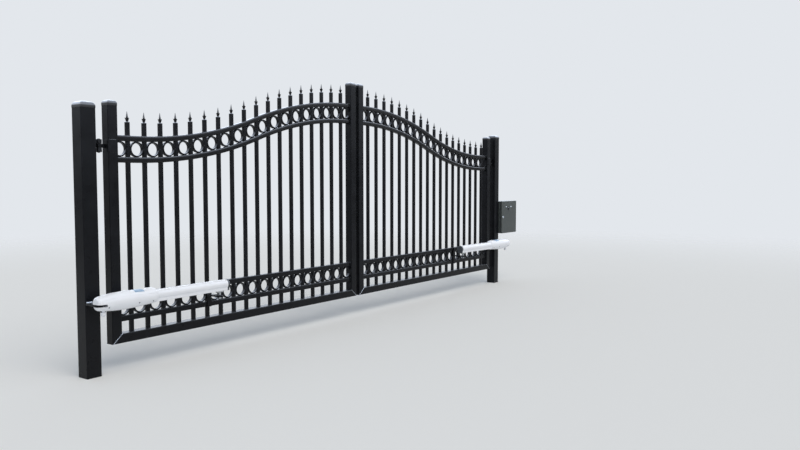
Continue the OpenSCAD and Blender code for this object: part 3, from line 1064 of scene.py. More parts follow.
@dataclass
class Leaf:
    """One leaf: its frame of square tube, the ringed rails, the pickets and their finials."""

    shop: Workshop
    side: Side
    corner: float = 6 * MM
    crown_corner: float = 9.5 * MM
    picket_corner: float = 3 * MM
    picket_rise: float = 83 * MM
    ring_bar: float = 9.5 * MM
    ring_depth: float = 25.4 * MM
    bead: float = 2.2 * MM
    mitre_bead: float = 1.9 * MM

    def home(self, *nodes: str) -> Home:
        """Returns the leaf's own place, standing for the named nodes."""
        return Home(self.side, self.name("leaf"), Slot.BLACK, tuple(map(self.name, nodes)))

    def name(self, text: str) -> str:
        """Returns a piece's name with the leaf's side before it."""
        return f"{self.side.value}_{text}"

    def build(self) -> None:
        """Makes the whole leaf."""
        self.stiles()
        self.caps()
        self.rails()
        self.pickets()
        self.finials()
        self.rings()
        self.welds()

    def stiles(self) -> None:
        """Makes the two stiles and the bottom rail, mitred where they meet."""
        s = self.shop.sizes
        outline = rounded_square(s.stile_w, self.corner)
        half, rise, level = s.stile_w / 2, s.foot_h / s.stile_w, s.leaf_z + s.foot_h / 2
        hinge_mid, meeting_mid = s.stile_x + half, s.meeting_x + half
        ends = (
            ("hinge_stile", hinge_mid, s.hinge_top, rise),
            ("meeting_stile", meeting_mid, s.meeting_top, -rise),
        )
        for name, middle, top, lean in ends:
            foot = [Vector((middle + x, y, level + lean * x)) for x, y in outline]
            head = [Vector((middle + x, y, top)) for x, y in outline]
            tube = Piece(self.name(name + "_tube")).loft([foot, head])
            self.shop.finish(tube.master(SHARP_TUBE), ENAMEL, self.home(name))
        outline = rounded_square(s.stile_w, self.corner, s.foot_h)
        left = [Vector((hinge_mid + z / rise, y, level + z)) for y, z in outline]
        right = [Vector((meeting_mid - z / rise, y, level + z)) for y, z in outline]
        tube = Piece(self.name("bottom_rail_tube")).loft([left, right])
        self.shop.finish(tube.master(SHARP_TUBE), ENAMEL, self.home("bottom_rail"))

    def caps(self) -> None:
        """Makes the crowned caps of the stiles."""
        s = self.shop.sizes
        cap_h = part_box(self.name("stile_caps"))[1].z - s.meeting_top
        caps = Piece(self.name("stile_caps_cast"))
        for x, z in ((s.stile_x, s.hinge_top), (s.meeting_x, s.meeting_top)):
            caps.loft(cap_rings(s.stile_w, z + cap_h, Vector((x + s.stile_w / 2, 0, z))))
        self.shop.finish(caps.master(SHARP_CAP), GLOSS_ENAMEL, self.home("stile_caps"))

    def rails(self) -> None:
        """Makes the two band rails and the two rails along the crown."""
        s = self.shop.sizes
        half, ends = s.rail_w / 2, (s.field_x, s.meeting_x)
        bands = [[Vector((x, 0, top - half)) for x in ends] for top in s.band_tops]
        home = self.home("band_rails")
        self.shop.sweep(self.name("band_rail_tubes"), bands, s.rail_w, self.corner, ENAMEL, home)
        for name, drop in (("top_rail", 0.0), ("second_rail", s.rail_w + s.gap)):
            tube, line = self.name(name + "_tube"), s.crown.points(drop + half)
            home = self.home(name)
            self.shop.sweep(tube, [line], s.rail_w, self.crown_corner, RAIL_ENAMEL, home)

    def pickets(self) -> None:
        """Makes the pickets, each as long as the crown lets it be."""
        s = self.shop.sizes
        foot = s.foot_top
        outline = rounded_square(s.picket_w, self.picket_corner, steps=3)
        bar = Piece("picket").loft([[Vector((x, y, z)) for x, y in outline] for z in (0.0, 1.0)])
        spots = []
        for x in s.picket_x:
            length = s.crown.height(x) + self.picket_rise - foot
            spots.append(Spot(Vector((x, 0, foot)), stretch=(1.0, 1.0, length)))
        home = self.home("pickets")
        self.shop.repeat(self.name("picket_bars"), bar, spots, ENAMEL, home, SHARP_TUBE)

    def finials(self) -> None:
        """Makes the spear finials: a collar, four flared leaves and a spike."""
        s = self.shop.sizes
        spear = Piece("finial")
        spear.loft([
            [Vector((x, y, z * MM)) for x, y in rounded_square(w * MM, r * MM, steps=2)]
            for z, w, r in FINIAL_COLLAR
        ])
        spear.loft([
            [Vector((x, y, z * MM)) for x, y in rounded_square(w * MM, w * 0.2 * MM, steps=1)]
            for z, w in FINIAL_SPIKE
        ])
        for quarter in range(4):
            turn = Matrix.Rotation(quarter * math.pi / 2, 4, "Z")
            rows = []
            for z, out, wide in FINIAL_LEAF:
                inner, outer = out - FINIAL_HALF, out + FINIAL_HALF
                corners = [(inner, -wide / 2), (inner, wide / 2)]
                corners += [(outer, wide / 3), (outer, -wide / 3)]
                rows.append([turn @ Vector((x * MM, y * MM, z * MM)) for x, y in corners])
            spear.loft(rows)
        spots = [Spot(Vector((x, 0, s.crown.height(x) + self.picket_rise))) for x in s.picket_x]
        name, home = self.name("spear_finials"), self.home("finials")
        self.shop.repeat(name, spear, spots, GLOSS_ENAMEL, home, SHARP_CASTING)

    def ring_centres(self) -> list[Vector]:
        """Lists the centres of the rings in the lower band and under the top rail.

        Returns:
            The centres, the lower band's first.
        """
        s = self.shop.sizes
        level = s.band_tops[0] + s.gap / 2
        drop = s.rail_w + s.gap / 2
        lower = [Vector((x, 0, level)) for x in s.ring_x]
        upper = [Vector((x, 0, s.crown.height(x, drop))) for x in s.ring_x]
        return lower + upper

    def rings(self) -> None:
        """Makes the rings that fill both bands; the stiles cut the ones at the ends."""
        s = self.shop.sizes
        middle = s.gap / 2 - self.ring_bar / 2
        section = rounded_square(self.ring_bar, 1.5 * MM, self.ring_depth, 2)
        bar = [(middle + x, y) for x, y in section]
        ring = Piece("ring").lathe(bar, OUTWARDS, 44, looped=True)
        first, last = s.ring_x[0], s.ring_x[-1]
        inner = [centre for centre in self.ring_centres() if first < centre.x < last]
        spots, home = [Spot(centre) for centre in inner], self.home("rings")
        self.shop.repeat(self.name("band_rings"), ring, spots, ENAMEL, home, SHARP_CASTING)
        cut = Piece(self.name("end_rings"))
        for centre in self.ring_centres():
            if centre in inner:
                continue
            face, turn = (s.field_x, 0.0) if centre.x == s.ring_x[0] else (s.meeting_x, math.pi)
            reach = math.acos((face - centre.x) / middle * math.cos(turn)) + 1 * MM / middle
            angles = [turn - reach + 2 * reach * i / 36 for i in range(37)]
            cut.loft([
                [centre + Vector((r * math.cos(a), y, r * math.sin(a))) for r, y in bar]
                for a in angles
            ])
        self.shop.finish(cut.master(SHARP_CASTING), ENAMEL, self.home())

    def welds(self) -> None:
        """Lays the weld beads at the rails' ends, the pickets, the mitres and the rings."""
        self.rail_welds()
        self.picket_welds()
        self.mitre_welds()
        self.ring_tacks()

    def rail_welds(self) -> None:
        """Lays a bead round each end of the four rails."""
        s = self.shop.sizes
        low, high = s.crown.low, s.crown.high
        levels = [(top, top) for top in s.band_tops]
        levels += [(low, high), (low - s.rail_w - s.gap, high - s.rail_w - s.gap)]
        loops = []
        for tops in levels:
            for x, top in zip((s.field_x, s.meeting_x), tops):
                outline = rounded_square(s.rail_w + self.bead, self.corner)
                loops.append([Vector((x, y, top - s.rail_w / 2 + z)) for y, z in outline])
        self.shop.weld(self.name("rail_welds"), loops, self.bead, self.home(), closed=True)

    def picket_welds(self) -> None:
        """Lays a fine bead round each picket where it stands on a rail."""
        s = self.shop.sizes
        small = self.bead * 0.7
        outline = rounded_square(s.picket_w + small, self.picket_corner)
        levels = [
            lambda x: s.foot_top, lambda x: s.band_tops[0], lambda x: s.band_tops[1],
            lambda x: s.crown.height(x, 2 * s.rail_w + s.gap), lambda x: s.crown.height(x),
        ]
        loops = [
            [Vector((at + x, y, level(at + x))) for x, y in outline]
            for level in levels
            for at in s.picket_x
        ]
        self.shop.weld(self.name("picket_welds"), loops, small, self.home(), closed=True)

    def mitre_welds(self) -> None:
        """Lays the bare, ground beads along the mitres of the bottom rail."""
        s = self.shop.sizes
        lines = []
        for face in (-s.stile_w / 2, s.stile_w / 2):
            for x0, x1 in ((s.stile_x, s.field_x), (s.meeting_x + s.stile_w, s.meeting_x)):
                lines.append([Vector((x0, face, s.leaf_z)), Vector((x1, face, s.foot_top))])
        zinc_slot_home = Home(self.side, self.name("leaf"), Slot.ZINC)
        self.shop.weld(self.name("mitre_welds"), lines, self.mitre_bead, zinc_slot_home, finish=GROUND_WELD_AND_HIGHLIGHT)

    def ring_tacks(self) -> None:
        """Sets weld tacks on both faces of each ring, at the four places where it touches."""
        s = self.shop.sizes
        blob = Piece("tack").lathe(in_mm(TACK), Matrix.Identity(4), 8)
        out, depth = s.gap / 2 - 1.5 * MM, self.ring_depth / 2 - 1 * MM
        spots = []
        for centre in self.ring_centres():
            for i in range(4):
                angle = math.pi / 2 * i
                side = Vector((math.cos(angle), 0, math.sin(angle))) * out
                for face in (-1, 1):
                    place = centre + side + Vector((0, face * depth, 0))
                    spots.append(Spot(place, stretch=(1.3, 1.0, 1.3)))
        self.shop.repeat(self.name("ring_tacks"), blob, spots, CAST_ENAMEL, self.home(), SHARP_BEAD)


def carve(target: bpy.types.Object, cutters: Sequence[bpy.types.Object],
          sharp: float) -> bpy.types.Object:
    """Cuts closed shapes out of a mesh, then removes them.

    Args:
        target: the object that is cut.
        cutters: the shapes taken out of it.
        sharp: angle in degrees past which an edge stays sharp.

    Returns:
        The object, with its cut mesh.
    """
    for cutter in cutters:
        cut = target.modifiers.new("cut", "BOOLEAN")
        cut.operation, cut.solver, cut.object = "DIFFERENCE", "EXACT", cutter
    graph = bpy.context.evaluated_depsgraph_get()
    data = bpy.data.meshes.new_from_object(target.evaluated_get(graph), depsgraph=graph)
    target.modifiers.clear()
    target.data = data
    data.name = target.name
    data.set_sharp_from_angle(angle=math.radians(sharp))
    for cutter in cutters:
        bpy.data.objects.remove(cutter)
    return target


def rod(radius: float, low: float, high: float, edge: float = 1 * MM) -> list[tuple[float, float]]:
    """Lists the profile of a round bar with eased ends, for turning about Z.

    Args:
        radius: the bar's radius.
        low: height of its lower end.
        high: height of its upper end.
        edge: how much its ends are eased.

    Returns:
        Radius and height of each point.
    """
    return [
        (0.0, low), (radius - edge, low), (radius, low + edge),
        (radius, high - edge), (radius - edge, high), (0.0, high),
    ]


def hex_head(across: float, height: float) -> Piece:
    """Makes a chamfered hexagon head with its washer, standing on its own XY plane.

    Args:
        across: width across its flats.
        height: height of the hexagon.

    Returns:
        The piece.
    """
    washer = rod(across * 0.72, 0.0, across * 0.1, 0.3 * MM)
    start, reach = across * 0.1, across / 2 / math.cos(math.pi / 6)
    turned = Matrix.Rotation(math.pi / 6, 4, "Z")
    angles = [i * math.pi / 3 for i in range(6)]
    rings = [
        (reach, start), (reach, start + height - 0.8 * MM), (reach - 1.2 * MM, start + height),
    ]
    piece = Piece("hex_head").lathe(washer, Matrix.Identity(4), 20)
    return piece.loft([
        [turned @ Vector((r * math.cos(a), r * math.sin(a), z)) for a in angles] for r, z in rings
    ])


@dataclass
class Hinges:
    """The two hinges of a leaf: knuckles on the post and on the leaf, round a pin."""

    shop: Workshop
    side: Side
    height: float = 81 * MM
    knuckle_r: float = 19 * MM
    pin_r: float = 9 * MM
    pin_reach: float = 5 * MM
    web_t: float = 14 * MM
    strap_t: float = 5 * MM
    strap_reach: float = 55 * MM
    play: float = 1 * MM
    pin_play: float = 0.08 * MM
    ease: float = 1.5 * MM
    bend: float = 7 * MM
    bead: float = 2.2 * MM
    strap_bead: float = 2.4 * MM

    @property
    def knuckle(self) -> float:
        """Height of one knuckle."""
        return self.height / 3

    def build(self) -> None:
        """Makes both hinges."""
        side = self.side.value
        low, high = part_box("left_post_hinges")
        x, reach = high.x - self.knuckle_r, self.height / 2 + self.pin_reach
        fixed, pins = Piece(f"{side}_post_hinge_castings"), Piece(f"{side}_hinge_pin_heads")
        moving = Piece(f"{side}_leaf_hinge_straps")
        beads, leaf_beads = [], []
        for z in (low.z + reach, high.z - reach):
            beads += self.post_half(fixed, x, z)
            self.pin_heads(pins, x, z)
            leaf_beads += self.leaf_half(moving, x, z)
        on_post = Home(self.side, "root", Slot.BLACK)
        on_leaf = Home(self.side, f"{side}_leaf", Slot.BLACK)
        post_home = replace(on_post, replaced=(f"{side}_post_hinges",))
        leaf_home = replace(on_leaf, replaced=(f"{side}_leaf_hinges",))
        self.shop.finish(fixed.master(SHARP_CASTING), CAST_ENAMEL, post_home)
        self.shop.finish(pins.master(SHARP_CASTING), CAST_ENAMEL, on_post)
        self.shop.finish(moving.master(SHARP_CASTING), ENAMEL, leaf_home)
        self.shop.weld(f"{side}_post_web_welds", beads, self.bead, on_post, closed=True)
        name = f"{side}_strap_welds"
        self.shop.weld(name, leaf_beads, self.strap_bead, on_leaf, finish=GLOSS_ENAMEL)

    def post_half(self, castings: Piece, x: float, z: float) -> list[list[Vector]]:
        """Adds a hinge's two knuckles on the post and the webs that carry them.

        Args:
            castings: the piece that gets them.
            x: the hinge's axis.
            z: height of the hinge's middle.

        Returns:
            The outlines of the webs' welds.
        """
        face, knuckle, half = self.shop.sizes.post_w / 2, self.knuckle, self.web_t / 2
        beads = []
        for k in (-1, 1):
            bar = rod(self.knuckle_r, (k - 0.5) * knuckle, (k + 0.5) * knuckle, self.ease)
            castings.lathe(bar, Matrix.Translation((x, 0, z)), 40)
            castings.box((face, -half, z + (k - 0.46) * knuckle),
                         (x - self.knuckle_r / 2, half, z + (k + 0.46) * knuckle))
            outline = rounded_square(self.web_t, 2 * MM, 0.92 * knuckle)
            beads.append([Vector((face, y, z + k * knuckle + up)) for y, up in outline])
        return beads

    def pin_heads(self, pins: Piece, x: float, z: float) -> None:
        """Adds the domed heads of a hinge's pin.

        Args:
            pins: the piece that gets them.
            x: the hinge's axis.
            z: height of the hinge's middle.
        """
        dome = [
            (0.0, 0.0), (self.pin_r, 0.0), (self.pin_r, 2 * MM), (self.pin_r * 0.75, 4.2 * MM),
            (0.0, self.pin_reach),
        ]
        at = Vector((x, 0, z))
        for turn, sign in ((0.0, 1), (math.pi, -1)):
            end = at + Vector((0, 0, sign * self.height / 2))
            pins.lathe(dome, Matrix.Translation(end) @ Matrix.Rotation(turn, 4, "X"), 28)

    def leaf_half(self, straps: Piece, x: float, z: float) -> list[list[Vector]]:
        """Adds a hinge's knuckle on the leaf and the strap folded round the stile.

        Args:
            straps: the piece that gets them.
            x: the hinge's axis.
            z: height of the hinge's middle.

        Returns:
            The lines of the strap's welds.
        """
        sizes = self.shop.sizes
        half, radius = self.knuckle / 2 - self.play, self.knuckle_r
        bore = self.pin_r + self.pin_play
        ring = [
            (bore, -half), (radius - self.ease, -half), (radius, self.ease - half),
            (radius, half - self.ease), (radius - self.ease, half), (bore, half),
        ]
        straps.lathe(ring, Matrix.Translation((x, 0, z)), 40, looped=True)
        inner, end_x = sizes.stile_x - self.strap_t, sizes.stile_x + self.strap_reach
        straps.box((x + radius / 2 + 2 * MM, -self.web_t / 2, z - half),
                   (inner + 1 * MM, self.web_t / 2, z + half))
        front, back = -sizes.stile_w / 2 - self.strap_t, self.web_t / 2
        edge = front + self.strap_t
        fold = [
            (inner, back), (inner, front + self.bend), (inner + 2 * MM, front + 2 * MM),
            (inner + self.bend, front), (end_x, front), (end_x, edge), (sizes.stile_x, edge),
            (sizes.stile_x, back),
        ]
        straps.plate(fold, self.height, Matrix.Translation((0, 0, z)), 1.2 * MM)
        levels = [z + end * self.height / 2 for end in (-1, 1)]
        start_x = sizes.stile_x + self.bend
        beads = [[Vector((at, edge, level)) for at in (start_x, end_x)] for level in levels]
        beads.append([Vector((end_x, edge, level)) for level in levels])
        return beads


# Turned profiles of the arm's small parts, radius and height in millimetres
ARM_SCREW = ((0, -2), (4.6, -2), (4.6, 0.6), (3.6, 1.2), (2, 1.2), (2, -0.6), (0, -0.6))
CABLE_GLAND = (
    (0, 5), (9, 5), (9, -2), (7, -2.5), (7, -6), (11.5, -8), (14.8, -12.5), (16, -19),
    (15, -25.5), (11.5, -31), (6.5, -34), (0, -34.8),
)
# Where the screws sit: distance from the rear pivot in millimetres, and degrees under the side
ARM_SCREW_SPOTS = ((44.5, -30.5), (258, -23.7), (371.5, -33.7))
# The hump on the housing's back in millimetres: where it starts, how far it takes to rise, where it
# ends and how far it takes to fall
HUMP_START, HUMP_RISE, HUMP_END, HUMP_FALL = 336, 14, 410, 9


@dataclass
class SwingArm:
    """One swing arm with its bracket on the post, its carriage and its bracket on the leaf."""

    shop: Workshop
    side: Side
    pivot: Vector
    along: Vector
    pin_s: float
    tongue_drop: float = 11 * MM
    tongue_t: float = 12 * MM
    tongue_w: float = 50 * MM
    slot_play: float = 2 * MM
    slot_end: float = 57 * MM
    pin_r: float = 8 * MM
    seam_depth: float = 27 * MM
    seam_width: float = 1.4 * MM
    seam_recess: float = 1.2 * MM
    shell_lip: float = 0.5 * MM
    hump_height: float = 7.5 * MM
    hump_falloff: float = 1.55
    cover_start: float = 240 * MM
    cover_end: float = 312 * MM
    cover_spread: float = math.radians(39)
    gland_s: float = 33 * MM
    housing_end: float = 412 * MM
    tube_end: float = 1030 * MM
    arm_end: float = 1046 * MM
    bore_r: float = 35 * MM
    bore_lift: float = 3 * MM
    rail_w: float = 54 * MM
    rail_foot: float = 39.5 * MM
    slot_w: float = 24 * MM
    slot_h: float = 30 * MM
    block_l: float = 60 * MM
    plate_w: float = 38 * MM
    plate_t: float = 8 * MM
    ear_t: float = 12 * MM
    # Stations along the housing: distance from the rear pivot and radius there, in millimetres
    stations: tuple[tuple[float, float], ...] = (
        (-20, 25.7), (-17, 32.2), (-12, 38.6), (-6, 42.7), (0, 44.5), (30, 49.1), (70, 53.5),
        (110, 56.5), (150, 58.2), (180, 58.5), (220, 57.6), (262, 56.2), (300, 54.1),
        (336, 51.1), (340, 50.9), (345, 50.8), (350, 50.7), (370, 49.8), (387, 48.6),
        (400, 46.4), (405, 45.5), (409, 43.2), (412, 41.0),
    )

    @property
    def place(self) -> Matrix:
        """Matrix from the arm's own axes, with X along it, to the frame."""
        turn = math.atan2(self.along.y, self.along.x)
        return Matrix.Translation(self.pivot) @ Matrix.Rotation(turn, 4, "Z")

    def home(self, body: str, slot: Slot, *nodes: str) -> Home:
        """Returns a place on one of this side's bodies, standing for the named nodes."""
        full = body if body == "root" else self.name(body)
        return Home(self.side, full, slot, tuple(map(self.name, nodes)))

    def name(self, text: str) -> str:
        """Returns a piece's name with the arm's side before it."""
        return f"{self.side.value}_{text}"

    def build(self) -> None:
        """Makes the arm, its brackets and its carriage."""
        self.housing()
        self.cover()
        self.tube()
        self.end_cap()
        self.small_parts()
        self.post_bracket()
        self.carriage()
        self.gate_bracket()

    def radius(self, s: float) -> float:
        """Works out the housing's radius.

        Args:
            s: distance from the rear pivot.

        Returns:
            The radius there.
        """
        at = s / MM
        for (s0, r0), (s1, r1) in zip(self.stations, self.stations[1:]):
            if s0 <= at <= s1:
                return (r0 + (r1 - r0) * (at - s0) / (s1 - s0)) * MM
        return 0.0

    def hump(self, s: float) -> float:
        """Works out how far the housing's back rises over its round.

        Args:
            s: distance from the rear pivot.

        Returns:
            The rise there, which starts and ends softly.
        """
        at = s / MM
        rise = min(1.0, max(0.0, (at - HUMP_START) / HUMP_RISE))
        rise *= min(1.0, max(0.0, (HUMP_END - at) / HUMP_FALL))
        return self.hump_height * rise * rise * (3 - 2 * rise)

    def section(self, radius: float, hump: float = 0.0) -> list[tuple[float, float]]:
        """Draws the housing's section: a round with a parting groove and a proud upper shell.

        Args:
            radius: the section's radius.
            hump: how far its back rises over the round.

        Returns:
            Points across and up, counter-clockwise from the right-hand groove.
        """
        seam = math.asin(min(0.9, max(0.1, (radius - self.seam_depth) / radius)))
        floor, lip = radius - self.seam_recess, radius + self.shell_lip
        groove, quarter = self.seam_width / radius, math.pi / 2
        right = [(seam + groove, lip)]
        for i in range(1, 9):
            a = seam + (quarter - seam) * i / 9
            right.append((a, lip + hump * max(0.0, math.cos((quarter - a) * self.hump_falloff))))
        top = [(quarter, lip + hump)]
        left = [(math.pi - a, r) for a, r in reversed(right)]
        lower_left = [(math.pi - seam, floor), (math.pi - seam + groove, radius)]
        start, sweep = math.pi - seam + groove, math.pi + 2 * seam - 2 * groove
        under = [(start + sweep * i / 30, radius) for i in range(1, 30)]
        lower_right = [(2 * math.pi + seam - groove, radius), (2 * math.pi + seam, floor)]
        points = right + top + left + lower_left + under + lower_right
        return [(r * math.cos(a), r * math.sin(a)) for a, r in points]

    def housing(self) -> None:
        """Makes the two-shelled housing, its nose slotted over the tongue and bored for the pin."""
        rings = []
        for s, r in self.stations:
            section = self.section(r * MM, self.hump(s * MM))
            rings.append([self.place @ Vector((s * MM, y, z)) for y, z in section])
        shell = Piece(self.name("arm_housing_shells")).loft(rings).master(SHARP_SHELL)
        # Each cutter reaches this far past the housing
        past = 0.1
        reach, depth = self.slot_end, self.tongue_t + 2 * self.slot_play
        angles = [math.pi / 2 * i / 24 for i in range(25)]
        plan = [(-past, -past), (0, -past)]
        plan += [(reach * math.sin(a), -reach * math.cos(a)) for a in angles]
        plan += [(reach, past), (-past, past)]
        slot = Piece("slot").plate(plan, depth, Matrix.Translation((0, 0, -self.tongue_drop)), 0.0)
        hole = [(0, -past), (self.pin_r, -past), (self.pin_r, past), (0, past)]
        bore = Piece("bore").lathe(hole, Matrix.Identity(4), 36)
        cutters = [piece.master() for piece in (slot, bore)]
        for cutter in cutters:
            cutter.data.transform(self.place)
        home = self.home("arm", Slot.WHITE, "arm_housing")
        self.shop.finish(carve(shell, cutters, SHARP_SHELL), POWDER, home)

    def cover(self) -> None:
        """Makes the pale release cover let into the top of the housing."""
        lid = Piece(self.name("arm_release_cover"))
        start, spread = self.cover_start, self.cover_spread
        angles = [math.pi / 2 - spread + 2 * spread * i / 24 for i in range(25)]
        rows = []
        for step in range(9):
            s = start + (self.cover_end - start) * step / 8
            lift = 1.6 * MM if 0 < step < 8 else 0.6 * MM
            outer, inner = self.radius(s) + lift, self.radius(s) - 3 * MM
            ring = [(outer * math.cos(a), outer * math.sin(a)) for a in angles]
            ring += [(inner * math.cos(a), inner * math.sin(a)) for a in reversed(angles)]
            rows.append([self.place @ Vector((s, y, z)) for y, z in ring])
        lid.loft(rows)
        self.shop.finish(lid.master(SHARP_SHELL), COVER_PLASTIC, self.home("arm", Slot.WHITE))

    def tube_outline(self, grow: float = 0.0, slotted: bool = True) -> list[tuple[float, float]]:
        """Draws the tube's section: a round over a slot rail with square shoulders.

        Args:
            grow: how far the outline lies outside the tube's own.
            slotted: True for the slot in the rail.

        Returns:
            Points across and up, counter-clockwise.
        """
        radius, half, foot = self.bore_r + grow, self.rail_w / 2 + grow, -self.rail_foot - grow
        meet = math.acos(half / radius)
        angles = [-meet + (math.pi + 2 * meet) * i / 40 for i in range(41)]
        points = [(radius * math.cos(a), self.bore_lift + radius * math.sin(a)) for a in angles]
        corner = 3 * MM
        ease = 0.3 * corner
        points += [(-half, foot + corner), (-half + ease, foot + ease), (-half + corner, foot)]
        if slotted:
            lip, roof = self.slot_w / 2, -self.rail_foot + self.slot_h
            points += [(-lip, foot), (-lip, roof), (lip, roof), (lip, foot)]
        points += [(half - corner, foot), (half - ease, foot + ease), (half, foot + corner)]
        return points

    def tube(self) -> None:
        """Makes the extruded tube with the slot that the carriage runs in."""
        rings = [
            [self.place @ Vector((s, y, z)) for y, z in self.tube_outline()]
            for s in (self.housing_end - 12 * MM, self.tube_end)
        ]
        made = Piece(self.name("arm_tube_extrusion")).loft(rings).master(SHARP_SHELL)
        self.shop.finish(made, POWDER, self.home("arm", Slot.WHITE, "arm_tube"))

    def end_cap(self) -> None:
        """Makes the moulded cap on the tube's far end."""
        rows = (
            (self.tube_end, 1.5 * MM), (self.arm_end - 4 * MM, 1.5 * MM),
            (self.arm_end - 1 * MM, 0.0), (self.arm_end, -3 * MM),
        )
        rings = [
            [self.place @ Vector((s, y, z)) for y, z in self.tube_outline(grow, False)]
            for s, grow in rows
        ]
        made = Piece(self.name("arm_end_cap")).loft(rings).master(SHARP_TUBE)
        self.shop.finish(made, MOULDED, self.home("arm", Slot.CAP, "arm_cap"))

    def small_parts(self) -> None:
        """Makes the recessed screws along the housing and the cable gland under its nose."""
        screws, profile = Piece(self.name("arm_housing_screws")), in_mm(ARM_SCREW)
        for s, angle in ARM_SCREW_SPOTS:
            s, low = s * MM, math.radians(angle)
            for mirrored in (low, math.pi - low):
                out = Vector((0, math.cos(mirrored), math.sin(mirrored)))
                turn = Vector((0, 0, 1)).rotation_difference(out).to_matrix().to_4x4()
                spot = Matrix.Translation(Vector((s, 0, 0)) + out * self.radius(s))
                screws.lathe(profile, self.place @ spot @ turn, 16)
        home = self.home("arm", Slot.CAP)
        self.shop.finish(screws.master(SHARP_CASTING), MOULDED, home)
        gland = Piece(self.name("arm_cable_gland"))
        place = self.place @ Matrix.Translation((self.gland_s, 0, -self.radius(self.gland_s)))
        gland.lathe(in_mm(CABLE_GLAND), place, 32)
        self.shop.finish(gland.master(SHARP_CASTING), POWDER, self.home("arm", Slot.WHITE))

    def post_bracket(self) -> None:
        """Makes the tongue welded to the post, the pin that the nose swings on, and a pale bead on
        the tongue's root that paints the sky's highlight there.
        """
        half, face = self.tongue_w / 2, -self.shop.sizes.post_w / 2
        x, y, left, right = self.pivot.x, self.pivot.y, face, -face / 2
        on_post, zinc_slot_home = self.home("root", Slot.BLACK), self.home("root", Slot.ZINC)
        arc = [math.pi + math.pi * i / 20 for i in range(21)]
        outline = [(left, face)]
        outline += [(x + half * math.cos(a), y + half * math.sin(a)) for a in arc]
        outline += [(right, face)]
        level = self.pivot.z - self.tongue_drop
        tongue = Piece(self.name("arm_post_tongue"))
        tongue.plate(outline, self.tongue_t, Matrix.Translation((0, 0, level)), 1.5 * MM)
        home = self.home("root", Slot.BLACK, "arm_bracket")
        self.shop.finish(tongue.master(SHARP_CASTING), ENAMEL, home)
        pin = Piece(self.name("arm_rear_pin"))
        pin.lathe(rod(self.pin_r, -40 * MM, 40 * MM), Matrix.Translation(self.pivot), 36)
        self.shop.finish(pin.master(SHARP_CASTING), ZINC_PLATE, zinc_slot_home)
        low, high = level - self.tongue_t / 2, level + self.tongue_t / 2
        under = [Vector((left + 2 * MM, face, low)), Vector((right - 2 * MM, face, low))]
        self.shop.weld(self.name("tongue_welds"), [under], 3 * MM, on_post)
        # A pale bare-metal bead along the top of the tongue's root is a painted highlight: it
        # stands for the sky's glint on that black edge
        over = [Vector((left + 5 * MM, face, high)), Vector((left + 42 * MM, face, high))]
        name = self.name("tongue_bare_weld")
        self.shop.weld(name, [over], 6.5 * MM, zinc_slot_home, finish=GROUND_WELD_AND_HIGHLIGHT)

    def carriage(self) -> None:
        """Makes the carriage that runs in the slot, with the pin under it."""
        low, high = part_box("left_arm_carriage")
        block = Piece(self.name("arm_carriage_block"))
        half_l, half_w = self.block_l / 2, (self.slot_w - 2 * MM) / 2
        foot, roof = low.z + 20 * MM - self.pivot.z, high.z - self.pivot.z
        block.box((self.pin_s - half_l, -half_w, foot), (self.pin_s + half_l, half_w, roof), 2 * MM)
        pin = rod(9 * MM, low.z - self.pivot.z, foot + 1 * MM)
        block.lathe(pin, Matrix.Translation((self.pin_s, 0, 0)), 36)
        done = block.master(SHARP_CASTING)
        done.data.transform(self.place)
        self.shop.finish(done, ZINC_PLATE, self.home("carriage", Slot.ZINC, "arm_carriage"))

    def gate_bracket(self) -> None:
        """Makes the bracket on the leaf's lower band that takes the carriage's pin."""
        s = self.shop.sizes
        low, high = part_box("left_gate_bracket")
        pin = self.place @ Vector((self.pin_s, 0, 0))
        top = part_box("left_arm_carriage")[0].z - 2 * MM
        face, left, right = -s.rail_w / 2, pin.x - self.plate_w / 2, pin.x + self.plate_w / 2
        made = Piece(self.name("gate_bracket_plates"))
        made.box((left, face - self.plate_t, low.z), (right, face, high.z), 1.2 * MM)
        half = self.tongue_w / 2
        neck = math.acos(self.plate_w / 2 / half)
        arc = [math.pi - neck + (math.pi + 2 * neck) * i / 24 for i in range(25)]
        outline = [(left, face - self.plate_t / 2)]
        outline += [(pin.x + half * math.cos(a), pin.y + half * math.sin(a)) for a in arc]
        outline += [(right, face - self.plate_t / 2)]
        middle, under = top - self.ear_t / 2, top - self.ear_t
        made.plate(outline, self.ear_t, Matrix.Translation((0, 0, middle)), 1.2 * MM)
        home = self.home("leaf", Slot.BLACK, "gate_bracket")
        self.shop.finish(made.master(SHARP_CASTING), ENAMEL, home)
        nut = hex_head(24 * MM, 9 * MM).master(SHARP_CASTING)
        upside_down = Matrix.Rotation(math.pi, 4, "X")
        nut.data.transform(Matrix.Translation((pin.x, pin.y, under)) @ upside_down)
        nut.name = self.name("gate_bracket_nut")
        self.shop.finish(nut, ZINC_PLATE, self.home("leaf", Slot.ZINC))
        ends = (left, right)
        beads = [[Vector((x, face - self.plate_t, z)) for x in ends] for z in (top, under)]
        beads += [[Vector((x, face, z)) for x in ends] for z in (low.z, high.z)]
        home = self.home("leaf", Slot.BLACK)
        self.shop.weld(self.name("gate_bracket_welds"), beads, 2.5 * MM, home)


# Turned profiles of the box's small parts, radius and height in millimetres
DOOR_SCREW = ((0, -1), (9, -1), (9, 1.5), (6.5, 1.8), (6, 4), (3.5, 6), (0, 6.5))
KEY_LATCH = (
    (0, -1), (13, -1), (13, 3), (11, 5), (9, 5), (8.5, 9), (4, 9.5), (3.5, 8), (0, 8),
)


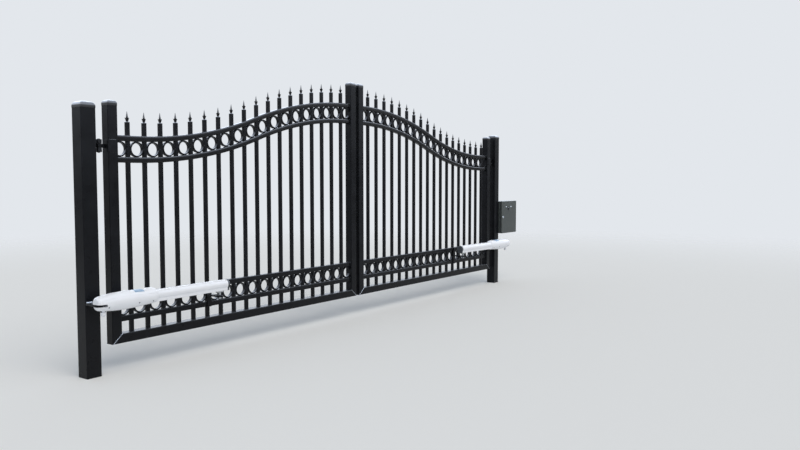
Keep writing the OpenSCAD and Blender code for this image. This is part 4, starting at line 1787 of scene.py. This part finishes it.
@dataclass
class ControlBox:
    """The sheet-steel control box beside the right post, with its channels, door, seal and lock."""

    shop: Workshop
    hinge: Vector
    wall: float = 3 * MM
    play: float = 5 * MM
    knuckle_r: float = 5 * MM
    knuckle_h: float = 20 * MM
    pin_r: float = 2.5 * MM
    body_w: float = 380 * MM
    door_d: float = 22 * MM
    fold_r: float = 4 * MM
    hinge_inset: float = 70 * MM
    screw_insets: tuple[float, float] = (112 * MM, 232 * MM)
    latch_inset: float = 28 * MM
    bolt_inset: float = 75 * MM
    plate_inset: float = 35 * MM
    stand_off_inset: float = 55 * MM
    low: Vector = field(init=False)
    high: Vector = field(init=False)
    door_low: Vector = field(init=False)
    door_high: Vector = field(init=False)

    def home(self, body: str, slot: Slot, *nodes: str) -> Home:
        """Returns a place on a body that isn't mirrored."""
        return Home(Side.LEFT, body, slot, nodes)

    def build(self) -> None:
        """Makes the box, its door and all that is fixed to them."""
        self.low, self.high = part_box("control_box")
        self.door_low, self.door_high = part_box("control_box_door")
        self.body()
        self.door()
        self.hinges()
        self.lock()
        self.fixings()
        self.inside()

    @property
    def right(self) -> float:
        """Right-hand face of the box's own body, short of the hinge knuckles."""
        return self.low.x + self.body_w

    @property
    def mouth(self) -> float:
        """Front edge of the box's own body."""
        return self.door_low.y + self.door_d + self.play

    def body(self) -> None:
        """Makes the open-fronted body, with a rolled edge round its mouth."""
        shell = Piece("control_box_body").box(
            (self.low.x, self.mouth, self.low.z), (self.right, self.high.y, self.high.z),
            self.fold_r, 4,
        )
        cut = Piece("cut").box(
            (self.low.x + self.wall, self.mouth - 20 * MM, self.low.z + self.wall),
            (self.right - self.wall, self.high.y - self.wall, self.high.z - self.wall), 2 * MM,
        )
        made = carve(shell.master(SHARP_CASTING), [cut.master()], SHARP_CASTING)
        self.shop.finish(made, BOX_ENAMEL, self.home("root", Slot.BOX, "control_box"))
        front, back = self.mouth - 3.6 * MM, self.mouth + 0.4 * MM
        seal = self.frame_piece("control_box_seal", front, back, 0.5 * MM, 9 * MM)
        self.shop.finish(seal, SEAL_RUBBER, self.home("root", Slot.CAP))

    def frame_piece(self, name: str, front: float, back: float, inset: float,
                    wide: float) -> bpy.types.Object:
        """Makes a rectangular frame that runs round the box's mouth.

        Args:
            name: the piece's name.
            front: its front face along Y.
            back: its back face along Y.
            inset: distance inside the box's outline.
            wide: width of its sides.

        Returns:
            The frame.
        """
        rows = []
        for sx, sz in ((0, 0), (1, 0), (1, 1), (0, 1)):
            ring = []
            corners = ((inset, front), (inset + wide, front), (inset + wide, back), (inset, back))
            for step, y in corners:
                x = self.right - step if sx else self.low.x + step
                z = self.high.z - step if sz else self.low.z + step
                ring.append(Vector((x, y, z)))
            rows.append(ring)
        return Piece(name).loft(rows, looped=True).master(SHARP_CASTING)

    def door(self) -> None:
        """Makes the door, a shallow tray of folded sheet."""
        low = self.door_low
        high = Vector((self.right + 1 * MM, low.y + self.door_d, self.door_high.z))
        tray = Piece("control_box_door_tray").box(low, high, self.fold_r, 4).master(SHARP_CASTING)
        cut = Piece("cut").box(
            (low.x + self.fold_r, low.y + self.wall, low.z + self.fold_r),
            (high.x - self.fold_r, high.y + 20 * MM, high.z - self.fold_r), 2 * MM,
        )
        home = self.home("box_door", Slot.BOX, "control_box_door")
        self.shop.finish(carve(tray, [cut.master()], SHARP_CASTING), BOX_ENAMEL, home)

    def hinges(self) -> None:
        """Makes the door's two hinges: three knuckles each on a pin."""
        x, y, radius, height = self.hinge.x, self.hinge.y, self.knuckle_r, self.knuckle_h
        fixed, moving = Piece("control_box_hinge_knuckles"), Piece("control_box_door_knuckles")
        pins = Piece("control_box_hinge_pins")
        for z in (self.low.z + self.hinge_inset, self.high.z - self.hinge_inset):
            at = Matrix.Translation((x, y, z))
            for k in (-1, 1):
                fixed.lathe(rod(radius, (k - 0.5) * height, (k + 0.5) * height, 0.6 * MM), at, 24)
                fixed.box((self.right - 1 * MM, self.mouth, z + (k - 0.48) * height),
                          (x, y + radius, z + (k + 0.48) * height), 0.4 * MM, 1)
            half, bore = height / 2 - 0.5 * MM, self.pin_r + 0.1 * MM
            ring = [(bore, -half), (radius, -half), (radius, half), (bore, half)]
            moving.lathe(ring, at, 24, looped=True)
            moving.box((self.right, y - radius, z - half), (x - 3 * MM, y - self.pin_r, z + half),
                       0.4 * MM, 1)
            pins.lathe(rod(self.pin_r, -1.6 * height, 1.6 * height, 0.8 * MM), at, 16)
        self.shop.finish(fixed.master(SHARP_CASTING), BOX_ENAMEL, self.home("root", Slot.BOX))
        self.shop.finish(pins.master(SHARP_CASTING), ZINC_PLATE, self.home("root", Slot.ZINC))
        self.shop.finish(moving.master(SHARP_CASTING), BOX_ENAMEL, self.home("box_door", Slot.BOX))

    def lock(self) -> None:
        """Makes the black turning knob with its two screws, and the bright key latch."""
        low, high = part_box("control_box_lock")
        front = Matrix.Translation((0, high.y, 0))
        middle = Vector(((low.x + high.x) / 2, 0, (low.z + high.z) / 2))
        radius, depth, grip = (high.x - low.x) / 2, high.y - low.y, (high.x - low.x) / 2 - 4 * MM
        profile = [
            (0, -1 * MM), (radius, -1 * MM), (radius, 3 * MM), (radius - 2 * MM, 4.5 * MM),
            (grip, 6 * MM), (grip, depth - 2 * MM), (radius - 6 * MM, depth), (0, depth),
        ]
        knob = Piece("control_box_lock_knob")
        knob.lathe(profile, front @ Matrix.Translation(middle) @ OUTWARDS, 36)
        knob.box((low.x + 14 * MM, low.y - 2 * MM, low.z + 4 * MM),
                 (high.x - 14 * MM, low.y + 2 * MM, high.z - 4 * MM), 1 * MM)
        home = self.home("box_door", Slot.LOCK, "control_box_lock")
        self.shop.finish(knob.master(SHARP_CASTING), MOULDED, home)
        bright = Piece("control_box_door_fittings")
        spots = [(DOOR_SCREW, inset, high.z + 4 * MM, 24) for inset in self.screw_insets]
        spots.append((KEY_LATCH, self.latch_inset, (self.low.z + self.high.z) / 2, 32))
        for shape, inset, z, sides in spots:
            place = front @ Matrix.Translation((self.low.x + inset, 0, z)) @ OUTWARDS
            bright.lathe(in_mm(shape), place, sides)
        self.shop.finish(bright.master(SHARP_CASTING), ZINC_PLATE, self.home("box_door", Slot.LOCK))

    def fixings(self) -> None:
        """Makes the bolts that hold the channels to the post and to the box."""
        low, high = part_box("control_box_rails")
        channels = (low.x + 38 * MM, low.x + 89 * MM, self.low.x + 50 * MM, high.x - 40 * MM)
        turn = (-math.pi / 2, 0.0, 0.0)
        spots = [
            Spot(Vector((x, low.y + 2.5 * MM, z)), turn)
            for z in (self.low.z + self.bolt_inset, self.high.z - self.bolt_inset)
            for x in channels
        ]
        name, bolt = "control_box_channel_bolts", hex_head(13 * MM, 6 * MM)
        self.shop.repeat(name, bolt, spots, ZINC_PLATE, self.home("root", Slot.ZINC))

    def inside(self) -> None:
        """Makes the mounting plate on four stand-offs that shows when the door is open."""
        back, inset, corner = self.high.y - self.wall, self.plate_inset, self.stand_off_inset
        plate = Piece("control_box_mounting_plate")
        plate.box((self.low.x + inset, back - 14 * MM, self.low.z + inset),
                  (self.right - inset, back - 12 * MM, self.high.z - inset), 0.6 * MM, 1)
        for x in (self.low.x + corner, self.right - corner):
            for z in (self.low.z + corner, self.high.z - corner):
                place = Matrix.Translation((x, back + 1 * MM, z)) @ OUTWARDS
                plate.lathe(rod(5 * MM, 0.0, 18 * MM, 1 * MM), place, 16)
        self.shop.finish(plate.master(SHARP_CASTING), GALVANISED, self.home("root", Slot.ZINC))


@dataclass
class Studio:
    """Pale floor and backdrop, soft light, and the camera at the photograph's place."""

    eye: tuple[float, float, float] = (-2.6116, -4.2546, 1.2376)
    turn: tuple[float, float, float] = (86.5365, 0.0, -54.606)
    lens: float = 33.199
    sensor: float = 36.0
    view_end: float = 200.0
    backdrop: str = "#e3e7ec"
    sky: str = "#dfe8f5"
    sky_strength: float = 0.6
    overhead: str = "#dbe6f8"
    overhead_gloss: float = 6.0
    level_gloss: float = 0.28
    sun_strength: float = 1.28
    sun_width: float = 50.0
    sun_colour: str = "#fff6ea"
    sun_towards: tuple[float, float, float] = (0.25, 0.75, -1.0)
    floor_colour: str = "#f3f4f2"
    floor_middle: tuple[float, float, float] = (2.6, 0.0, 0.0)
    fade_start: float = 4.5
    fade_end: float = 13.0

    def build(self) -> None:
        """Makes the camera, the lamps, the world and the floor."""
        self.camera()
        self.lamps()
        self.world()
        self.floor()

    def camera(self) -> None:
        """Sets up the camera."""
        data = bpy.data.cameras.new("view")
        data.lens, data.sensor_width, data.clip_end = self.lens, self.sensor, self.view_end
        made = bpy.data.objects.new("view", data)
        made.location = self.eye
        made.rotation_euler = Euler([math.radians(a) for a in self.turn])
        bpy.context.scene.collection.objects.link(made)
        bpy.context.scene.camera = made

    def lamps(self) -> None:
        """Sets up one broad, soft light from above the gate, towards the camera's side."""
        data = bpy.data.lights.new("overhead", "SUN")
        data.energy, data.angle = self.sun_strength, math.radians(self.sun_width)
        data.color = linear(self.sun_colour)[:3]
        made = bpy.data.objects.new("overhead", data)
        made.location = (1.0, -2.5, 5.0)
        made.rotation_euler = Vector(self.sun_towards).to_track_quat("-Z", "Y").to_euler()
        bpy.context.scene.collection.objects.link(made)

    def world(self) -> None:
        """Makes the world: sky light, a plain backdrop for the camera, a soft ceiling for gloss."""
        world = bpy.data.worlds.new("studio")
        world.use_nodes = True
        bpy.context.scene.world = world
        tree = world.node_tree
        tree.nodes.clear()
        path = add_node(tree, "ShaderNodeLightPath").outputs
        rays = {0: path["Is Camera Ray"], 1: path["Is Transmission Ray"]}
        seen = add_node(tree, "ShaderNodeMath", rays, operation="MAXIMUM").outputs[0]
        light = self.background(tree, linear(self.sky), self.sky_strength)
        plain = self.background(tree, linear(self.backdrop), 1.0)
        towards = add_node(tree, "ShaderNodeTexCoord").outputs["Generated"]
        height = add_node(tree, "ShaderNodeSeparateXYZ", {0: towards}).outputs["Z"]
        rise = soft_step(tree, height, 0.0, 0.5)
        colour = mix_colours(tree, rise, linear(self.backdrop), linear(self.overhead))
        gain = {"Value": rise, "To Min": self.level_gloss, "To Max": self.overhead_gloss}
        strength = add_node(tree, "ShaderNodeMapRange", gain).outputs["Result"]
        ceiling = self.background(tree, colour, strength)
        mixed = add_node(tree, "ShaderNodeMixShader", {0: seen, 1: light, 2: plain}).outputs[0]
        glossy = {0: path["Is Glossy Ray"], 1: mixed, 2: ceiling}
        mixed = add_node(tree, "ShaderNodeMixShader", glossy).outputs[0]
        add_node(tree, "ShaderNodeOutputWorld", {"Surface": mixed})

    def background(self, tree: bpy.types.NodeTree, colour: Any,
                   strength: Any) -> bpy.types.NodeSocket:
        """Adds a background of a plain or linked colour and strength."""
        feeds = {"Color": colour, "Strength": strength}
        return add_node(tree, "ShaderNodeBackground", feeds).outputs[0]

    def floor(self) -> None:
        """Makes the floor, which keeps the shadow and fades into the backdrop far away."""
        plane = Piece("floor_plane")
        corners = ((-40, -40), (45, -40), (45, 40), (-40, 40))
        plane.mesh.faces.new([plane.mesh.verts.new((x, y, 0.0)) for x, y in corners])
        made = plane.master()
        material = bpy.data.materials.new("pale_studio_floor")
        material.use_nodes = True
        tree = material.node_tree
        shader = tree.nodes["Principled BSDF"]
        shader.inputs["Base Color"].default_value = linear(self.floor_colour)
        shader.inputs["Roughness"].default_value = 1.0
        shader.inputs["Specular IOR Level"].default_value = 0.0
        place = add_node(tree, "ShaderNodeTexCoord").outputs["Object"]
        apart = {0: place, 1: self.floor_middle}
        away = add_node(tree, "ShaderNodeVectorMath", apart, operation="DISTANCE").outputs["Value"]
        fade = soft_step(tree, away, self.fade_start, self.fade_end)
        clear = add_node(tree, "ShaderNodeBsdfTransparent").outputs[0]
        surfaces = {0: fade, 1: shader.outputs[0], 2: clear}
        mixed = add_node(tree, "ShaderNodeMixShader", surfaces).outputs[0]
        tree.links.new(mixed, tree.nodes["Material Output"].inputs["Surface"])
        made.data.materials.append(material)


def dress_node(node: bpy.types.Object, finish: Finish) -> None:
    """Gives a CAD node that stays as it is a finish in all its slots."""
    for slot in node.material_slots:
        slot.material = finish.build()
    LOG.info("%s: kept, %s", node.name, finish.name)


def main() -> None:
    """Builds the studio and then the gate's sub-assemblies in order."""
    logging.basicConfig(level=logging.INFO, format="%(name)s: %(message)s")
    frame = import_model()
    Studio().build()
    bpy.context.scene.view_settings.view_transform = "Standard"
    shop = Workshop(GateSizes.read())
    joints = {joint["name"]: joint for joint in frame["joints"]}
    pivot = Vector(joints["left_arm_swing"]["pos_m"])
    along = -Vector(joints["left_carriage_travel"]["axis"])
    reach = Vector(joints["left_carriage_travel"]["pos_m"]) - pivot
    Posts(shop).build()
    for side in Side:
        Hinges(shop, side).build()
        Leaf(shop, side).build()
        SwingArm(shop, side, pivot, along, reach.xy.length).build()
    ControlBox(shop, Vector(joints["control_box_door_swing"]["pos_m"])).build()
    dress_node(frame["nodes"]["control_box_rails"], GALVANISED)


if __name__ == "__main__":
    main()
